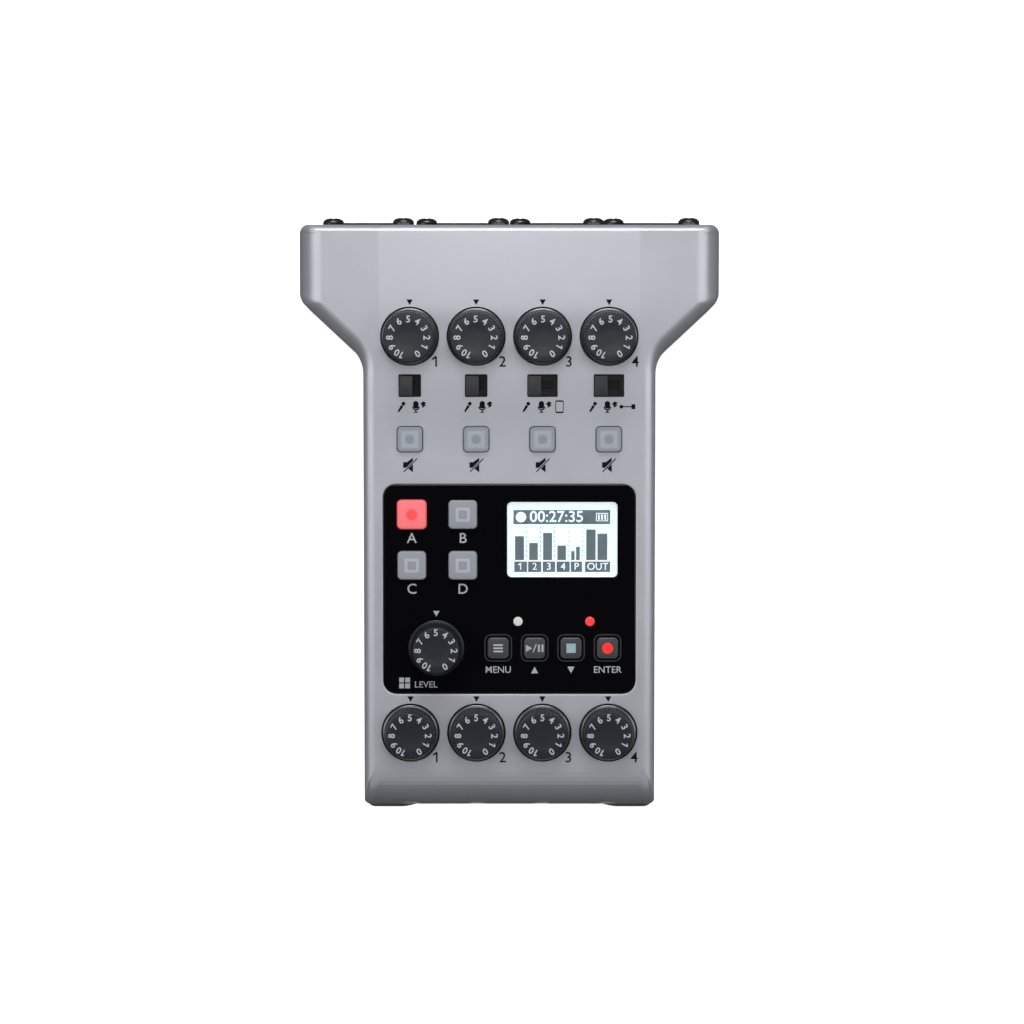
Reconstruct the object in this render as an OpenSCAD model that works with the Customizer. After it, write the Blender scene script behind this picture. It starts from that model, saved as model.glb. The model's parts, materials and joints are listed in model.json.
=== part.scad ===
// Podcast recorder with a T-shaped case, four microphone sockets and a sloping control panel.
// Millimetres, +Z up, +Y towards the rear sockets. The origin lies under the middle of the part.
// A place on the panel is given by x and by t, the distance down the slope from the rear wall.

/* [Case] */
// Side of the head, from the centre of its outer socket
head_margin = 17.9; // [17:0.1:20]
// Side of the neck, from the control plate
neck_margin = 5.2; // [4.8:0.1:7.2]
// Straight side of the head behind the shoulder
head_side = 19.5; // [18:0.5:22]
// Slant of the shoulder from the rear wall, in degrees
shoulder_angle = 43; // [42:1:48]
// Height of the panel at the rear wall, over the socket flanges
head_room = 6.5; // [6:0.1:9]
// Slope of the panel down to the front, in degrees
panel_tilt = 4.5; // [4:0.1:5]
// Fall of the wings away from the panel, in degrees
wing_slope = 4; // [1:0.5:5]
// Level strip between the wings, past the control plate
crease_margin = 1; // [0.6:0.1:1.3]
// Thickness of the side walls
wall_t = 2; // [1.8:0.1:2.4]
// Thickness of the panel
panel_t = 2.4; // [2.2:0.1:2.8]
// Thickness of the floor
floor_t = 2.4; // [2.2:0.1:3]
// Height of the joint between the case halves
split_z = 5; // [4.8:0.1:5.2]
// Reach of the front toes past the front face
toe_d = 1; // [0.5:0.1:1.5]
// Width of one front toe, with its curve
toe_w = 15.4; // [12:0.2:18]
// Length of the curved flank of a toe
toe_curve = 5.8; // [4:0.2:8]
// Height of the rubber feet under the floor
foot_h = 1.2; // [0.8:0.1:2]
// Radius of a rubber foot
foot_r = 5; // [4:0.5:6]

/* [Edge rounding] */
// Reach of the rounding along the rear edge
rear_round = 2.3; // [1.5:0.1:3]
// Reach of the rounding along the sides of the head
head_round = 6.5; // [5:0.1:8]
// Reach of the rounding along the shoulders
shoulder_round = 4; // [3:0.1:5]
// Reach of the rounding along the neck
neck_round = 3.2; // [2.5:0.1:3.6]
// Reach of the rounding along the front
front_round = 11; // [9:0.1:12]
// Corner radius at the rear, seen from above
rear_corner = 2.3; // [1:0.1:4]
// Corner radius at the shoulder, seen from above
shoulder_corner = 5; // [3:0.1:7]
// Corner radius where the shoulder meets the neck
neck_corner = 9; // [6:0.1:12]
// Corner radius at the front, seen from above
front_corner = 2.2; // [1.9:0.1:3.8]

/* [Dials] */
// Distance between neighbouring dials
knob_pitch = 17.63; // [17.2:0.01:18]
// Diameter of a dial's skirt
knob_d = 14.9; // [14:0.1:15.4]
// Gap between a dial and its hole
knob_gap = 0.4; // [0.3:0.05:0.6]
// Height of the gain dials over the panel
gain_knob_h = 13.2; // [10:0.1:15]
// Height of the pad level dial over the plate
pad_knob_h = 7; // [5:0.1:9]
// Height of the headphone dials over the panel
phones_knob_h = 6.2; // [5:0.1:9]
// Diameter of a dial's shaft
shaft_d = 6; // [5:0.1:6.4]
// Width and depth of a potentiometer
pot_w = 9.6; // [8.6:0.1:9.8]
// Height of a potentiometer on the board
pot_h = 4.4; // [4:0.1:4.6]

/* [Panel rows] */
// Gain dials, from the rear wall
gain_t = 29.5; // [29:0.1:30.5]
// Input sliders, in front of the gain dials
slider_gap = 13.1; // [12.8:0.1:13.6]
// Mute keys, in front of the input sliders
mute_gap = 14.25; // [13.5:0.05:15]
// Rear edge of the control plate, in front of the mute keys
plate_gap = 12.05; // [11:0.05:13]
// Headphone dials, in front of the control plate
phones_gap = 10.5; // [9.5:0.1:12]
// Front toes, in front of the headphone dials
front_gap = 21; // [20.4:0.1:22]

/* [Sliders and keys] */
// Width of the window of a two-position slider
short_slot_w = 6; // [5.6:0.1:6.4]
// Width of the window of a three-position slider
long_slot_w = 8.1; // [7.6:0.1:8.4]
// Depth of a slider's window
slot_d = 6.05; // [5.6:0.05:6.3]
// Width of a slider's cap
slider_cap_w = 3.6; // [3.2:0.1:3.8]
// Side of a mute key
mute_key_w = 6.7; // [6:0.1:7]
// Side of a sound pad
pad_w = 7.6; // [7:0.1:8.4]
// Side of a transport key
transport_w = 5.7; // [5.2:0.1:6]
// Travel of a key
key_travel = 0.6; // [0.4:0.05:0.8]
// Height of a key over the panel
key_proud = 1; // [0.8:0.05:1.4]

/* [Control plate] */
// Depth of the plate
plate_d = 56.1; // [55.8:0.1:57]
// Thickness of the plate
plate_t = 1.2; // [1:0.1:1.3]
// Corner radius of the plate
plate_corner = 3.5; // [2:0.1:5]
// Pads, from the left edge of the plate
pad_inset = 7.7; // [7:0.1:8.2]
// First pads, from the rear edge of the plate
pad_start = 8; // [7.4:0.1:8.6]
// Distance between neighbouring pads
pad_pitch = 13.6; // [13:0.1:14]
// Width of the display window
window_w = 29.4; // [28:0.1:30]
// Depth of the display window
window_d = 20.1; // [19:0.1:20.6]
// Display window, right of the sound pads
window_gap = 11.8; // [11.4:0.1:12.4]
// Display window, from the right edge of the plate
window_inset = 4.9; // [4.6:0.1:5.4]
// Display window, from the rear edge of the plate
window_start = 4.7; // [4.4:0.1:5]
// Distance between neighbouring transport keys
transport_pitch = 9.73; // [9.3:0.01:9.9]
// Transport keys and pad dial, from the front edge of the plate
transport_inset = 12.35; // [11.8:0.05:12.6]
// Last transport key, from the right edge of the plate
transport_side = 7.5; // [7:0.1:8]
// Pad dial, from the left edge of the plate
pad_knob_inset = 14.2; // [13.6:0.1:14.8]
// Diameter of an indicator lens
lens_d = 2.4; // [2:0.1:3]

/* [Boards] */
// Depth of the board's top face under the panel
board_drop = 8; // [7.8:0.1:8.2]
// Thickness of the board
board_t = 1.6; // [1.2:0.1:1.8]
// Sides of the board, past the outer potentiometers
board_side = 0.25; // [0.2:0.05:0.5]

/* [Rear sockets] */
// Gap between the flanges of neighbouring microphone sockets
xlr_gap = 1.8; // [1.4:0.1:2.4]
// Gap between the floor and the socket flanges
xlr_floor_gap = 3; // [2.8:0.1:3.4]
// Bore of a socket, which takes the plug's shell
xlr_bore_d = 19.2; // [18.8:0.1:19.4]
// Depth of a socket behind the rear wall
xlr_depth = 20; // [18:0.5:20.5]
// Width between the two screws of a socket
xlr_screw_dx = 19.6; // [19.4:0.1:20]
// Height between the two screws of a socket
xlr_screw_dz = 18.4; // [18.2:0.1:18.8]
// Edge of a socket's flange, from its screws
xlr_flange_edge = 2; // [1.9:0.1:2.4]
// Diameter of a socket screw's head
screw_head_d = 5.7; // [5:0.1:5.8]
// Height of a socket screw's head
screw_head_h = 1.9; // [1.5:0.1:2.2]

/* [Side and front sockets] */
// Bore of a small jack
jack_bore_d = 3.6; // [3.5:0.05:3.8]
// Diameter of a small jack's nose
jack_nose_d = 6; // [5.4:0.1:6.6]
// Power slider, from the rear wall
power_t = 58; // [56:0.5:60]
// First data socket, from the case post behind it
usb_gap = 11; // [10:0.5:12]
// Distance between the two data sockets
usb_pitch = 12; // [11:0.5:13]
// Telephone jack, from the second data socket
phone_jack_gap = 14; // [12.5:0.5:15]
// Memory card cover, from the rear wall
card_t = 96; // [93:0.5:99]

/* [Battery] */
// Diameter of a battery cell
cell_d = 14.5; // [14:0.1:14.6]
// Length of a battery cell
cell_l = 50.5; // [49.5:0.1:51]
// Centre of the battery well, from the rear wall
well_t = 47.5; // [46:0.5:49]
// Travel of the battery door
door_travel = 5; // [3:0.5:7]

/* [Hidden] */
$fn = 64;

// Clearances
turn_gap = 0.05;
slide_gap = 0.2;
seat_gap = 0.1;
cut_past = 1;

// Rows down the panel, and the width of the plate
slider_t = gain_t + slider_gap;
mute_t = slider_t + mute_gap;
plate_start = mute_t + plate_gap;
plate_w = pad_inset + pad_pitch + window_gap + window_w + window_inset;
plate_end = plate_start + plate_d;
plate_mid = plate_start + plate_d / 2;
phones_t = plate_end + phones_gap;

// Socket flanges, which set the width and height of the head
xlr_flange_w = xlr_screw_dx + 2 * xlr_flange_edge;
xlr_flange_h = xlr_screw_dz + 2 * xlr_flange_edge;
xlr_pitch = xlr_flange_w + xlr_gap;
floor_z = foot_h + floor_t;
xlr_drop = head_room + xlr_flange_h / 2;

// Main lines of the case. The rear wall is square to the panel.
rear_h = floor_z + xlr_floor_gap + xlr_flange_h + head_room;
head_w = 3 * xlr_pitch + 2 * head_margin;
neck_w = plate_w + 2 * neck_margin;
case_d = phones_t + front_gap;
screw_reach = screw_head_h * cos(panel_tilt)
              + (xlr_drop + (xlr_screw_dz + screw_head_d) / 2) * sin(panel_tilt);
rear_y = (case_d - screw_reach) / 2;
front_y = rear_y - case_d;
face_y = front_y + toe_d;
shoulder_y = rear_y - head_side;
crease_gap = 0.5;
crease_line = min(plate_w / 2 + crease_margin, neck_w / 2 - neck_round - crease_gap);
arc_steps = 5;
round_steps = 5;
hollow_steps = 2;
least_corner = 0.4;
tray_lean = (rear_h - split_z) * tan(panel_tilt);
edge_reach = [rear_round, head_round, shoulder_round, neck_round, front_round];
edge_fall = [2.5, 7, 5, 2.4, 16];
corner_r = [rear_corner, shoulder_corner, neck_corner, front_corner];
tray_round = 1.6;

// Dials and shafts
knob_r = knob_d / 2;
knob_hole_r = knob_r + knob_gap;
knob_sink = 1.4;
knob_roof = 1.6;
skirt_h = 0.7;
skirt_step = 0.5;
dial_edge = 0.35;
gain_top_r = knob_r - skirt_step - 0.1;
low_top_r = knob_r - skirt_step - 0.6;
shaft_r = shaft_d / 2;
shaft_flat = 0.8;
shaft_flat_start = -2;
pot_floor = 0.6;
knob_x = [for (i = [0:3]) (i - 1.5) * knob_pitch];

// Sliders
slot_w = [short_slot_w, short_slot_w, long_slot_w, long_slot_w];
slider_proud = 0.7;
slider_drop = 3.9;
slider_stem = 1.8;
slider_stem_drop = 6.6;
slide_body_margin = 1;
slide_body_d = 6.4;
slide_body_h = 3.6;
slide_slot_floor = 1;

// Keys
key_corner = 1.1;
key_flange = 1;
key_flange_t = 1;
key_stem_r = 1.5;
key_switch_w = 6;
key_switch_h = 3;
key_switch_gap = 0.2;

// Control plate
pad_first_t = plate_start + pad_start;
pad_x = [for (i = [0:3]) -plate_w / 2 + pad_inset + (i % 2) * pad_pitch];
pad_t = [for (i = [0:3]) pad_first_t + floor(i / 2) * pad_pitch];
window_x = plate_w / 2 - window_inset - window_w / 2;
window_t = plate_start + window_start + window_d / 2;
window_corner = 1.2;
display_margin = 1.8;
transport_t = plate_end - transport_inset;
transport_x = [for (i = [0:3]) plate_w / 2 - transport_side - (3 - i) * transport_pitch];
pad_knob_x = -plate_w / 2 + pad_knob_inset;
lens_left = 11.8;
lens_right = 7.4;
lens_gap = 7.1;
lens_x = [window_x - lens_left, window_x + lens_right];
lens_t = transport_t - lens_gap;
lens_proud = 0.15;

// Board
board_under = board_drop + board_t;
board_w = 3 * knob_pitch + pot_w + 2 * board_side;
board_margin = 1.6;
board_start = gain_t - pot_w / 2 - board_margin;
jack_body_h = 5;
jack_body_w = 6.4;
jack_body_l = 12;
jack_nose_l = 3;
jack_drop = board_under + jack_body_h / 2;
jack_bore_l = 13;
jack_recess = 1.6;
jack_face_t = (rear_y - face_y - jack_recess + jack_drop * sin(panel_tilt)) / cos(panel_tilt);
jack_overhang = 6;
board_end = jack_face_t - jack_overhang;
post_r = 1.8;
post_pin_r = 1;
post_pin_past = 0.6;
post_x = board_w / 2 - 2;
rear_post_gap = 7.4;
front_post_gap = 9.4;
post_t = [slider_t + rear_post_gap, transport_t + front_post_gap];

// Rear sockets
xlr_x = [for (i = [0:3]) (i - 1.5) * xlr_pitch];
xlr_bore_r = xlr_bore_d / 2;
xlr_rim = 0.6;
xlr_barrel_r = xlr_bore_r + xlr_rim;
xlr_proud = 0.5;
xlr_groove = 15;
xlr_floor = xlr_proud - xlr_groove;
xlr_insert_r = 8;
xlr_insert_back = 3.6;
xlr_flange_t = 2;
xlr_hole_gap = 0.15;
xlr_contact_ring = 4.6;
xlr_contact_r = 1.6;
xlr_contact_bore = 1.22;
xlr_contact_back = 0.8;
xlr_contact_deep = 11;
xlr_tail = 1.5;
xlr_contact_angles = [35, 145, 270];
xlr_screw_r = 1.4;
xlr_screw_l = 5.5;
cross_w = 0.9;
cross_l = 3.2;
cross_deep = 1;

// Case screws
boss_r = 2.7;
boss_sink = 0.6;
boss_clear = 0.5;
power_boss_gap = 11;
side_boss_t = power_t + power_boss_gap;
usb_t = side_boss_t + usb_gap;
phone_jack_t = usb_t + usb_pitch + phone_jack_gap;
jack_boss_gap = 19;
boss_t = [side_boss_t, phone_jack_t + jack_boss_gap];
case_screw_r = 1.25;
case_screw_l = 10;
case_head_r = 2.3;
case_head_h = 1.3;
boss_x = neck_w / 2 - wall_t - boss_r + boss_sink;
boss_in = wall_t + boss_r - boss_sink;
shoulder_boss_y = rear_y - (xlr_depth + xlr_tail) * cos(panel_tilt) - boss_r - boss_clear;
shoulder_boss_x = head_w / 2
                  - (shoulder_y + boss_in / cos(shoulder_angle) - shoulder_boss_y) / tan(shoulder_angle);
boss_places = [for (side = [-1, 1])
                   each [[side * shoulder_boss_x, shoulder_boss_y],
                         for (t = boss_t) [side * boss_x, rear_y - t]]];
rear_foot_inset = 5;
front_foot_side = 3.5;
front_foot_inset = 8;
foot_places = [for (side = [-1, 1])
                   each [[side * (head_w / 2 - foot_r - rear_foot_inset), rear_y - foot_r - rear_foot_inset],
                         [side * (neck_w / 2 - foot_r - front_foot_side),
                          front_y + foot_r + front_foot_inset]]];

// Side sockets
usb_w = 9;
usb_h = 3.2;
usb_l = 9;
usb_skin = 0.3;
usb_deep = 6.5;
usb_tongue = [6.6, 0.7, 5];
usb_drop = board_under + usb_h / 2;
power_body = [12, 4, 6];
power_drop = board_under + power_body.y / 2;
power_cap = [7, 3, 1];
power_stem = [2.4, 1.8];
power_travel = 3;
power_reach = 4;
power_sink = power_cap.z + seat_gap;
card_h = 2.8;
card_w = 27;
card_l = 22;
card_slot = [24.6, 2.2];
card_drop = board_under + card_h / 2;
cover_w = 30;
cover_h = 8;
cover_t = 1.1;
cover_pin_r = 0.4;
cover_pin_l = 0.8;
cover_drop = 0.6;
cover_low = cover_h / 2 + cover_drop;

// Battery
door_t = 1.6;
door_edge = 2.4;
contact_t = 0.5;
contact_gap = 0.3;
contact_size = [10, 12];
cell_gap = 0.3;
cell_nub_r = 2.7;
cell_nub_l = 1.2;
cell_z = foot_h + door_t + slide_gap + cell_d / 2;
well_y = rear_y - well_t;
well_w = cell_l + 2 * (contact_gap + contact_t);
well_d = 2 * cell_d + 3 * cell_gap;
well_top = cell_z + cell_d / 2 + cell_gap;
well_wall = 1.2;
door_w = well_w + 2 * door_edge;
door_d = well_d + 2 * door_edge;

function mix(a, b, share) = a + (b - a) * share;
function unit(v) = v / norm(v);
function turned(v, a) = [v.x * cos(a) - v.y * sin(a), v.x * sin(a) + v.y * cos(a)];
function mirrored(points) = [for (i = [len(points) - 1:-1:0]) [-points[i].x, points[i].y]];
function reversed(values) = [for (i = [len(values) - 1:-1:0]) values[i]];

// Points of the arc that rounds the corner at tip, between two straight sides.
function corner_arc(before, tip, after, r) =
    let (u1 = unit(before - tip),
         u2 = unit(after - tip),
         half = acos(u1 * u2) / 2,
         centre = tip + unit(u1 + u2) * r / sin(half),
         start = tip + u1 * r / tan(half) - centre,
         stop = tip + u2 * r / tan(half) - centre,
         sweep = atan2(start.x * stop.y - start.y * stop.x, start * stop))
    [for (i = [0:arc_steps]) centre + turned(start, sweep * i / arc_steps)];

// A rectangle with round corners, centred.
function round_rectangle(w, d, r) =
    let (tips = [[w / 2, d / 2], [-w / 2, d / 2], [-w / 2, -d / 2], [w / 2, -d / 2]])
    [for (i = [0:3]) each corner_arc(tips[(i + 3) % 4], tips[i], tips[(i + 1) % 4], r)];

// Corners of the left half of the plan, from the rear to the front, each side drawn in by its inset. The last
// two values of the inset move the rear wall and its corners out.
function left_tips(inset, front) =
    let (rise = inset[2] / cos(shoulder_angle),
         slant = tan(shoulder_angle),
         head_x = -head_w / 2 + inset[1],
         neck_x = -neck_w / 2 + inset[3],
         line_y = shoulder_y + rise - head_w / 2 * slant)
    [[head_x, rear_line(inset) + inset[6]], [head_x, line_y - head_x * slant],
     [neck_x, line_y - neck_x * slant], [neck_x, front + inset[4]]];

function rear_line(inset) = rear_y - inset[0] + inset[5];

// The neck corner is hollow, so it widens where the other corners shrink.
function inset_corner(i, inset) =
    i == 2 ? corner_r[i] + inset[i] : max(corner_r[i] - min(inset[i], inset[i + 1]), least_corner);

function left_outline(inset, front) =
    let (tips = left_tips(inset, front),
         line = concat([[0, tips[0].y]], tips, [[0, tips[3].y]]))
    [for (i = [0:3]) each corner_arc(line[i], line[i + 1], line[i + 2], inset_corner(i, inset))];

// The whole plan, counter-clockwise from the middle of the rear edge, with a point where each crease ends.
function case_outline(inset, skin) =
    let (left = left_outline(inset, face_y),
         crease = crease_line - skin,
         rear = rear_line(inset),
         front = face_y + inset[4])
    concat([[0, rear], [-crease, rear]], left, [[-crease, front], [crease, front]], mirrored(left),
           [[crease, rear]]);

left_falls = [for (i = [0:3], k = [0:arc_steps]) mix(edge_fall[i], edge_fall[i + 1], k / arc_steps)];
outline_falls = concat([edge_fall[0], edge_fall[0]], left_falls, [edge_fall[4], edge_fall[4]],
                       reversed(left_falls), [edge_fall[0]]);
outline_count = len(outline_falls);
left_count = len(left_falls);

function panel_z(y) = rear_h - (rear_y - y) * tan(panel_tilt);
function wing_fall(x, skin = 0) = max(0, abs(x) - crease_line + skin) * tan(wing_slope);
function even_inset(d, lean) = concat([for (i = [0:4]) d], lean, 0);

// One ring of the case's skin; share runs from 0 at the walls to 1 on the panel.
function case_ring(share, skin, sink) =
    let (drop = sink + edge_fall[0] * (1 - sin(90 * share)),
         side_inset = [for (reach = edge_reach) skin + reach * (1 - cos(90 * share))],
         wing = wing_fall(head_w / 2 - side_inset[1], skin),
         lean = (drop * cos(panel_tilt) + side_inset[0] * sin(panel_tilt)) * sin(panel_tilt),
         plan = case_outline(concat(side_inset, lean, wing * cos(panel_tilt) * sin(panel_tilt)), skin))
    [for (i = [0:outline_count - 1])
         [plan[i].x, plan[i].y,
          panel_z(plan[i].y) - wing_fall(plan[i].x, skin) - sink
          - outline_falls[i] * (1 - sin(90 * share))]];

function span(first, last) = [for (i = [first:last]) i];

// Faces of a stack of rings, from the lowest ring up. The zones fill the lowest ring and, turned over, the
// highest one. All of a zone can be seen from its first point.
function stack_faces(rings, count, zones) =
    let (top = (rings - 1) * count)
    concat(zones,
           [for (k = [0:rings - 2], i = [0:count - 1])
                let (low = k * count, high = low + count, next = (i + 1) % count)
                each [[low + i, high + i, high + next], [low + i, high + next, low + next]]],
           [for (zone = zones)
                [for (i = [0:len(zone) - 1]) top + zone[(len(zone) - i) % len(zone)]]]);

// Solid bounded by the skin at a depth below the case's surface, down to base_z.
module case_solid(skin, sink, base_z, steps) {
    base_inset = even_inset(skin, (rear_h - base_z) * tan(panel_tilt));
    base = [for (p = case_outline(base_inset, skin)) [p.x, p.y, base_z]];
    points = concat(base, [for (k = [0:steps]) each case_ring(k / steps, skin, sink)]);
    rear_left = 1;
    front_left = left_count + 2;
    front_right = front_left + 1;
    rear_right = outline_count - 1;
    left_wing = span(rear_left, front_left);
    strip = [0, rear_left, front_left, front_right, rear_right];
    right_wing = concat([rear_right], span(front_right, rear_right - 1));
    polyhedron(points, stack_faces(steps + 2, outline_count, [left_wing, strip, right_wing]));
}

// Plan of the tray from the middle of its rear edge, with a toe at each front corner.
function tray_outline(d) =
    let (inset = even_inset(d, tray_lean),
         left = left_outline(inset, front_y),
         toe_x = neck_w / 2 - toe_w,
         curve = [for (k = [0:arc_steps])
                      [-toe_x - toe_curve * (1 - k / arc_steps),
                       front_y + d + toe_d * (1 - cos(180 * k / arc_steps)) / 2]],
         half = concat(left, curve))
    concat([[0, rear_line(inset)]], half, mirrored(half));

function tray_ring(d, z) = [for (p = tray_outline(d)) [p.x, p.y, z]];

module tray_solid() {
    rounding = [for (k = [hollow_steps:-1:0])
                    let (a = 90 * k / hollow_steps)
                    each tray_ring(tray_round * (1 - cos(a)), foot_h + tray_round * (1 - sin(a)))];
    count = len(tray_outline(0));
    polyhedron(concat(rounding, tray_ring(0, split_z)),
               stack_faces(hollow_steps + 2, count, [span(0, count - 1)]));
}

// Places its children on the panel; lift is measured square to the panel.
module on_panel(x, t, lift = 0) {
    translate([0, rear_y, rear_h])
        rotate([panel_tilt, 0, 0])
            translate([x, -t, lift])
                children();
}

// In the next three frames local z points out of the case and local y points up.
module on_side(side, t, drop) {
    on_panel(side * neck_w / 2, t, -drop)
        rotate([90, 0, side * 90])
            children();
}

module on_front(x) {
    on_panel(x, jack_face_t, -jack_drop)
        rotate([90, 0, 0])
            children();
}

module on_rear(x) {
    on_panel(x, 0, -xlr_drop)
        rotate([90, 0, 180])
            children();
}

module block(w, d, low, high, r = key_corner) {
    translate([0, 0, low])
        linear_extrude(high - low)
            polygon(round_rectangle(w, d, r));
}

module box(w, d, low, high) {
    translate([-w / 2, -d / 2, low])
        cube([w, d, high - low]);
}

module rod(r, low, high) {
    translate([0, 0, low])
        cylinder(r = r, h = high - low);
}

module each_key(places_x, places_t) {
    for (i = [0:3])
        on_panel(places_x[i], places_t[i])
            children();
}

mute_row = [for (i = [0:3]) mute_t];
transport_row = [for (i = [0:3]) transport_t];

// Openings of the top case

module dial_openings() {
    for (x = knob_x, t = [gain_t, phones_t])
        on_panel(x, t)
            rod(knob_hole_r, -panel_t - cut_past, cut_past);
    on_panel(pad_knob_x, transport_t)
        rod(knob_hole_r, -panel_t - cut_past, cut_past);
}

module key_openings(w, places_x, places_t) {
    each_key(places_x, places_t)
        block(w + 2 * slide_gap, w + 2 * slide_gap, -panel_t - cut_past, cut_past);
}

module plate_openings() {
    key_openings(pad_w, pad_x, pad_t);
    key_openings(transport_w, transport_x, transport_row);
    for (x = lens_x)
        on_panel(x, lens_t)
            rod(lens_d / 2 + turn_gap, -panel_t - cut_past, cut_past);
}

module panel_openings() {
    dial_openings();
    plate_openings();
    key_openings(mute_key_w, knob_x, mute_row);
    for (i = [0:3])
        on_panel(knob_x[i], slider_t)
            box(slot_w[i], slot_d, -panel_t - cut_past, cut_past);
    on_panel(0, plate_mid)
        block(plate_w + 2 * seat_gap, plate_d + 2 * seat_gap, -plate_t, cut_past, plate_corner + seat_gap);
    on_panel(window_x, window_t)
        box(window_w + 2 * (display_margin + slide_gap), window_d + 2 * (display_margin + slide_gap),
            -panel_t - cut_past, 0);
}

module side_openings() {
    deep = -wall_t - cut_past;
    for (i = [0:1])
        on_side(1, usb_t + i * usb_pitch, usb_drop)
            block(usb_w + 2 * seat_gap, usb_h + 2 * seat_gap, deep, cut_past, usb_h / 2 - seat_gap);
    on_side(1, phone_jack_t, jack_drop)
        rod(jack_nose_d / 2 + seat_gap, deep, cut_past);
    on_side(1, power_t, power_drop) {
        box(power_stem.x + power_travel + 2 * slide_gap, power_stem.y + 2 * slide_gap, deep, cut_past);
        box(power_cap.x + power_travel + 2 * slide_gap, power_cap.y + 2 * slide_gap, -power_sink, cut_past);
    }
    on_side(-1, card_t, card_drop) {
        box(card_slot.x, card_slot.y, deep, cut_past);
        translate([0, (cover_h - cover_t / 2) / 2 - cover_low, 0])
            box(cover_w + 2 * slide_gap, cover_h + cover_t / 2 + 2 * slide_gap, -cover_t - 2 * seat_gap,
                cut_past);
        translate([0, -cover_low, -seat_gap - cover_t / 2])
            rotate([0, 90, 0])
                rod(cover_pin_r + turn_gap, -cover_w / 2 - cover_pin_l - slide_gap,
                    cover_w / 2 + cover_pin_l + slide_gap);
    }
}

module front_openings() {
    for (x = knob_x)
        on_front(x) {
            rod(jack_nose_d / 2 + seat_gap, -front_round, cut_past + jack_recess);
            box(jack_body_w + 2 * seat_gap, jack_body_h + 2 * seat_gap, -front_round, seat_gap - jack_nose_l);
        }
}

module xlr_screw_places() {
    for (side = [-1, 1])
        translate([side * xlr_screw_dx / 2, -side * xlr_screw_dz / 2, 0])
            children();
}

module rear_openings() {
    for (x = xlr_x)
        on_rear(x) {
            rod(xlr_barrel_r + xlr_hole_gap, -wall_t - cut_past, cut_past);
            xlr_screw_places()
                rod(xlr_screw_r + seat_gap, -wall_t - cut_past, cut_past);
        }
}

// Case halves

module case_bosses() {
    for (p = boss_places)
        translate([p.x, p.y, 0])
            rod(boss_r, floor_z, panel_z(p.y) - wing_fall(p.x) - panel_t / 2);
}

module board_posts() {
    for (side = [-1, 1], t = post_t)
        on_panel(side * post_x, t) {
            rod(post_r, -board_drop, -panel_t + seat_gap);
            rod(post_pin_r, -board_under - post_pin_past, -board_drop);
        }
}

module top_case() {
    color("#b4b8c0")
        difference() {
            union() {
                difference() {
                    case_solid(0, 0, split_z, round_steps);
                    case_solid(wall_t, panel_t, split_z - cut_past, hollow_steps);
                }
                case_bosses();
                board_posts();
            }
            panel_openings();
            side_openings();
            front_openings();
            rear_openings();
            for (p = boss_places)
                translate([p.x, p.y, 0])
                    rod(case_screw_r + turn_gap, 0, foot_h + floor_t / 2 + case_screw_l + seat_gap);
        }
}

module battery_well() {
    translate([0, well_y, 0])
        box(well_w + 2 * well_wall, well_d + 2 * well_wall, floor_z - seat_gap, well_top + well_wall);
}

module battery_hollow() {
    translate([0, well_y, 0]) {
        box(well_w, well_d, 0, well_top);
        translate([0, -door_travel / 2, 0])
            box(door_w + 2 * slide_gap, door_d + 2 * slide_gap + door_travel, 0, foot_h + door_t + seat_gap);
    }
}

module bottom_case() {
    color("#3c3f44")
        difference() {
            union() {
                difference() {
                    tray_solid();
                    translate([0, 0, floor_z])
                        linear_extrude(split_z)
                            polygon(case_outline(even_inset(wall_t, tray_lean), wall_t));
                }
                battery_well();
            }
            battery_hollow();
            for (p = foot_places)
                translate([p.x, p.y, 0])
                    rod(foot_r + seat_gap, 0, foot_h + floor_t / 3);
            for (p = boss_places)
                translate([p.x, p.y, 0]) {
                    rod(case_screw_r + seat_gap, 0, floor_z + cut_past);
                    rod(case_head_r + slide_gap, 0, foot_h + floor_t / 2);
                    rod(boss_r + seat_gap, floor_z, floor_z + split_z);
                }
        }
}

module rubber_feet() {
    color("#1c1c1e")
        for (p = foot_places)
            translate([p.x, p.y, 0])
                rod(foot_r, 0, foot_h + floor_t / 3);
}

module case_screws() {
    color("#2a2a2c")
        for (p = boss_places)
            translate([p.x, p.y, foot_h + floor_t / 2]) {
                rod(case_head_r, -case_head_h + seat_gap, 0);
                rod(case_screw_r, -seat_gap, case_screw_l);
            }
}

// Control plate and display

module control_plate() {
    color("#0a0a0c")
        difference() {
            on_panel(0, plate_mid)
                block(plate_w, plate_d, -plate_t, 0, plate_corner);
            plate_openings();
            on_panel(pad_knob_x, transport_t)
                rod(knob_hole_r, -plate_t - cut_past, cut_past);
            on_panel(window_x, window_t)
                block(window_w, window_d, -plate_t - cut_past, cut_past, window_corner);
        }
}

module display_window() {
    color("#e8f2f4")
        on_panel(window_x, window_t)
            block(window_w - turn_gap, window_d - turn_gap, -plate_t, 0, window_corner);
}

module display_module() {
    color("#5c6468")
        on_panel(window_x, window_t)
            box(window_w + 2 * display_margin, window_d + 2 * display_margin, -board_drop,
                -plate_t - seat_gap);
}

module indicator_lenses() {
    color("#f4f4f0")
        for (x = lens_x)
            on_panel(x, lens_t)
                rod(lens_d / 2, -board_drop, lens_proud);
}

// Board and what stands on it

module main_board() {
    color("#1f5a34")
        difference() {
            on_panel(0, (board_start + board_end) / 2)
                box(board_w, board_end - board_start, -board_under, -board_drop);
            for (side = [-1, 1], t = post_t)
                on_panel(side * post_x, t)
                    rod(post_pin_r + seat_gap, -board_under - cut_past, -board_drop + cut_past);
        }
}

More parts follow.
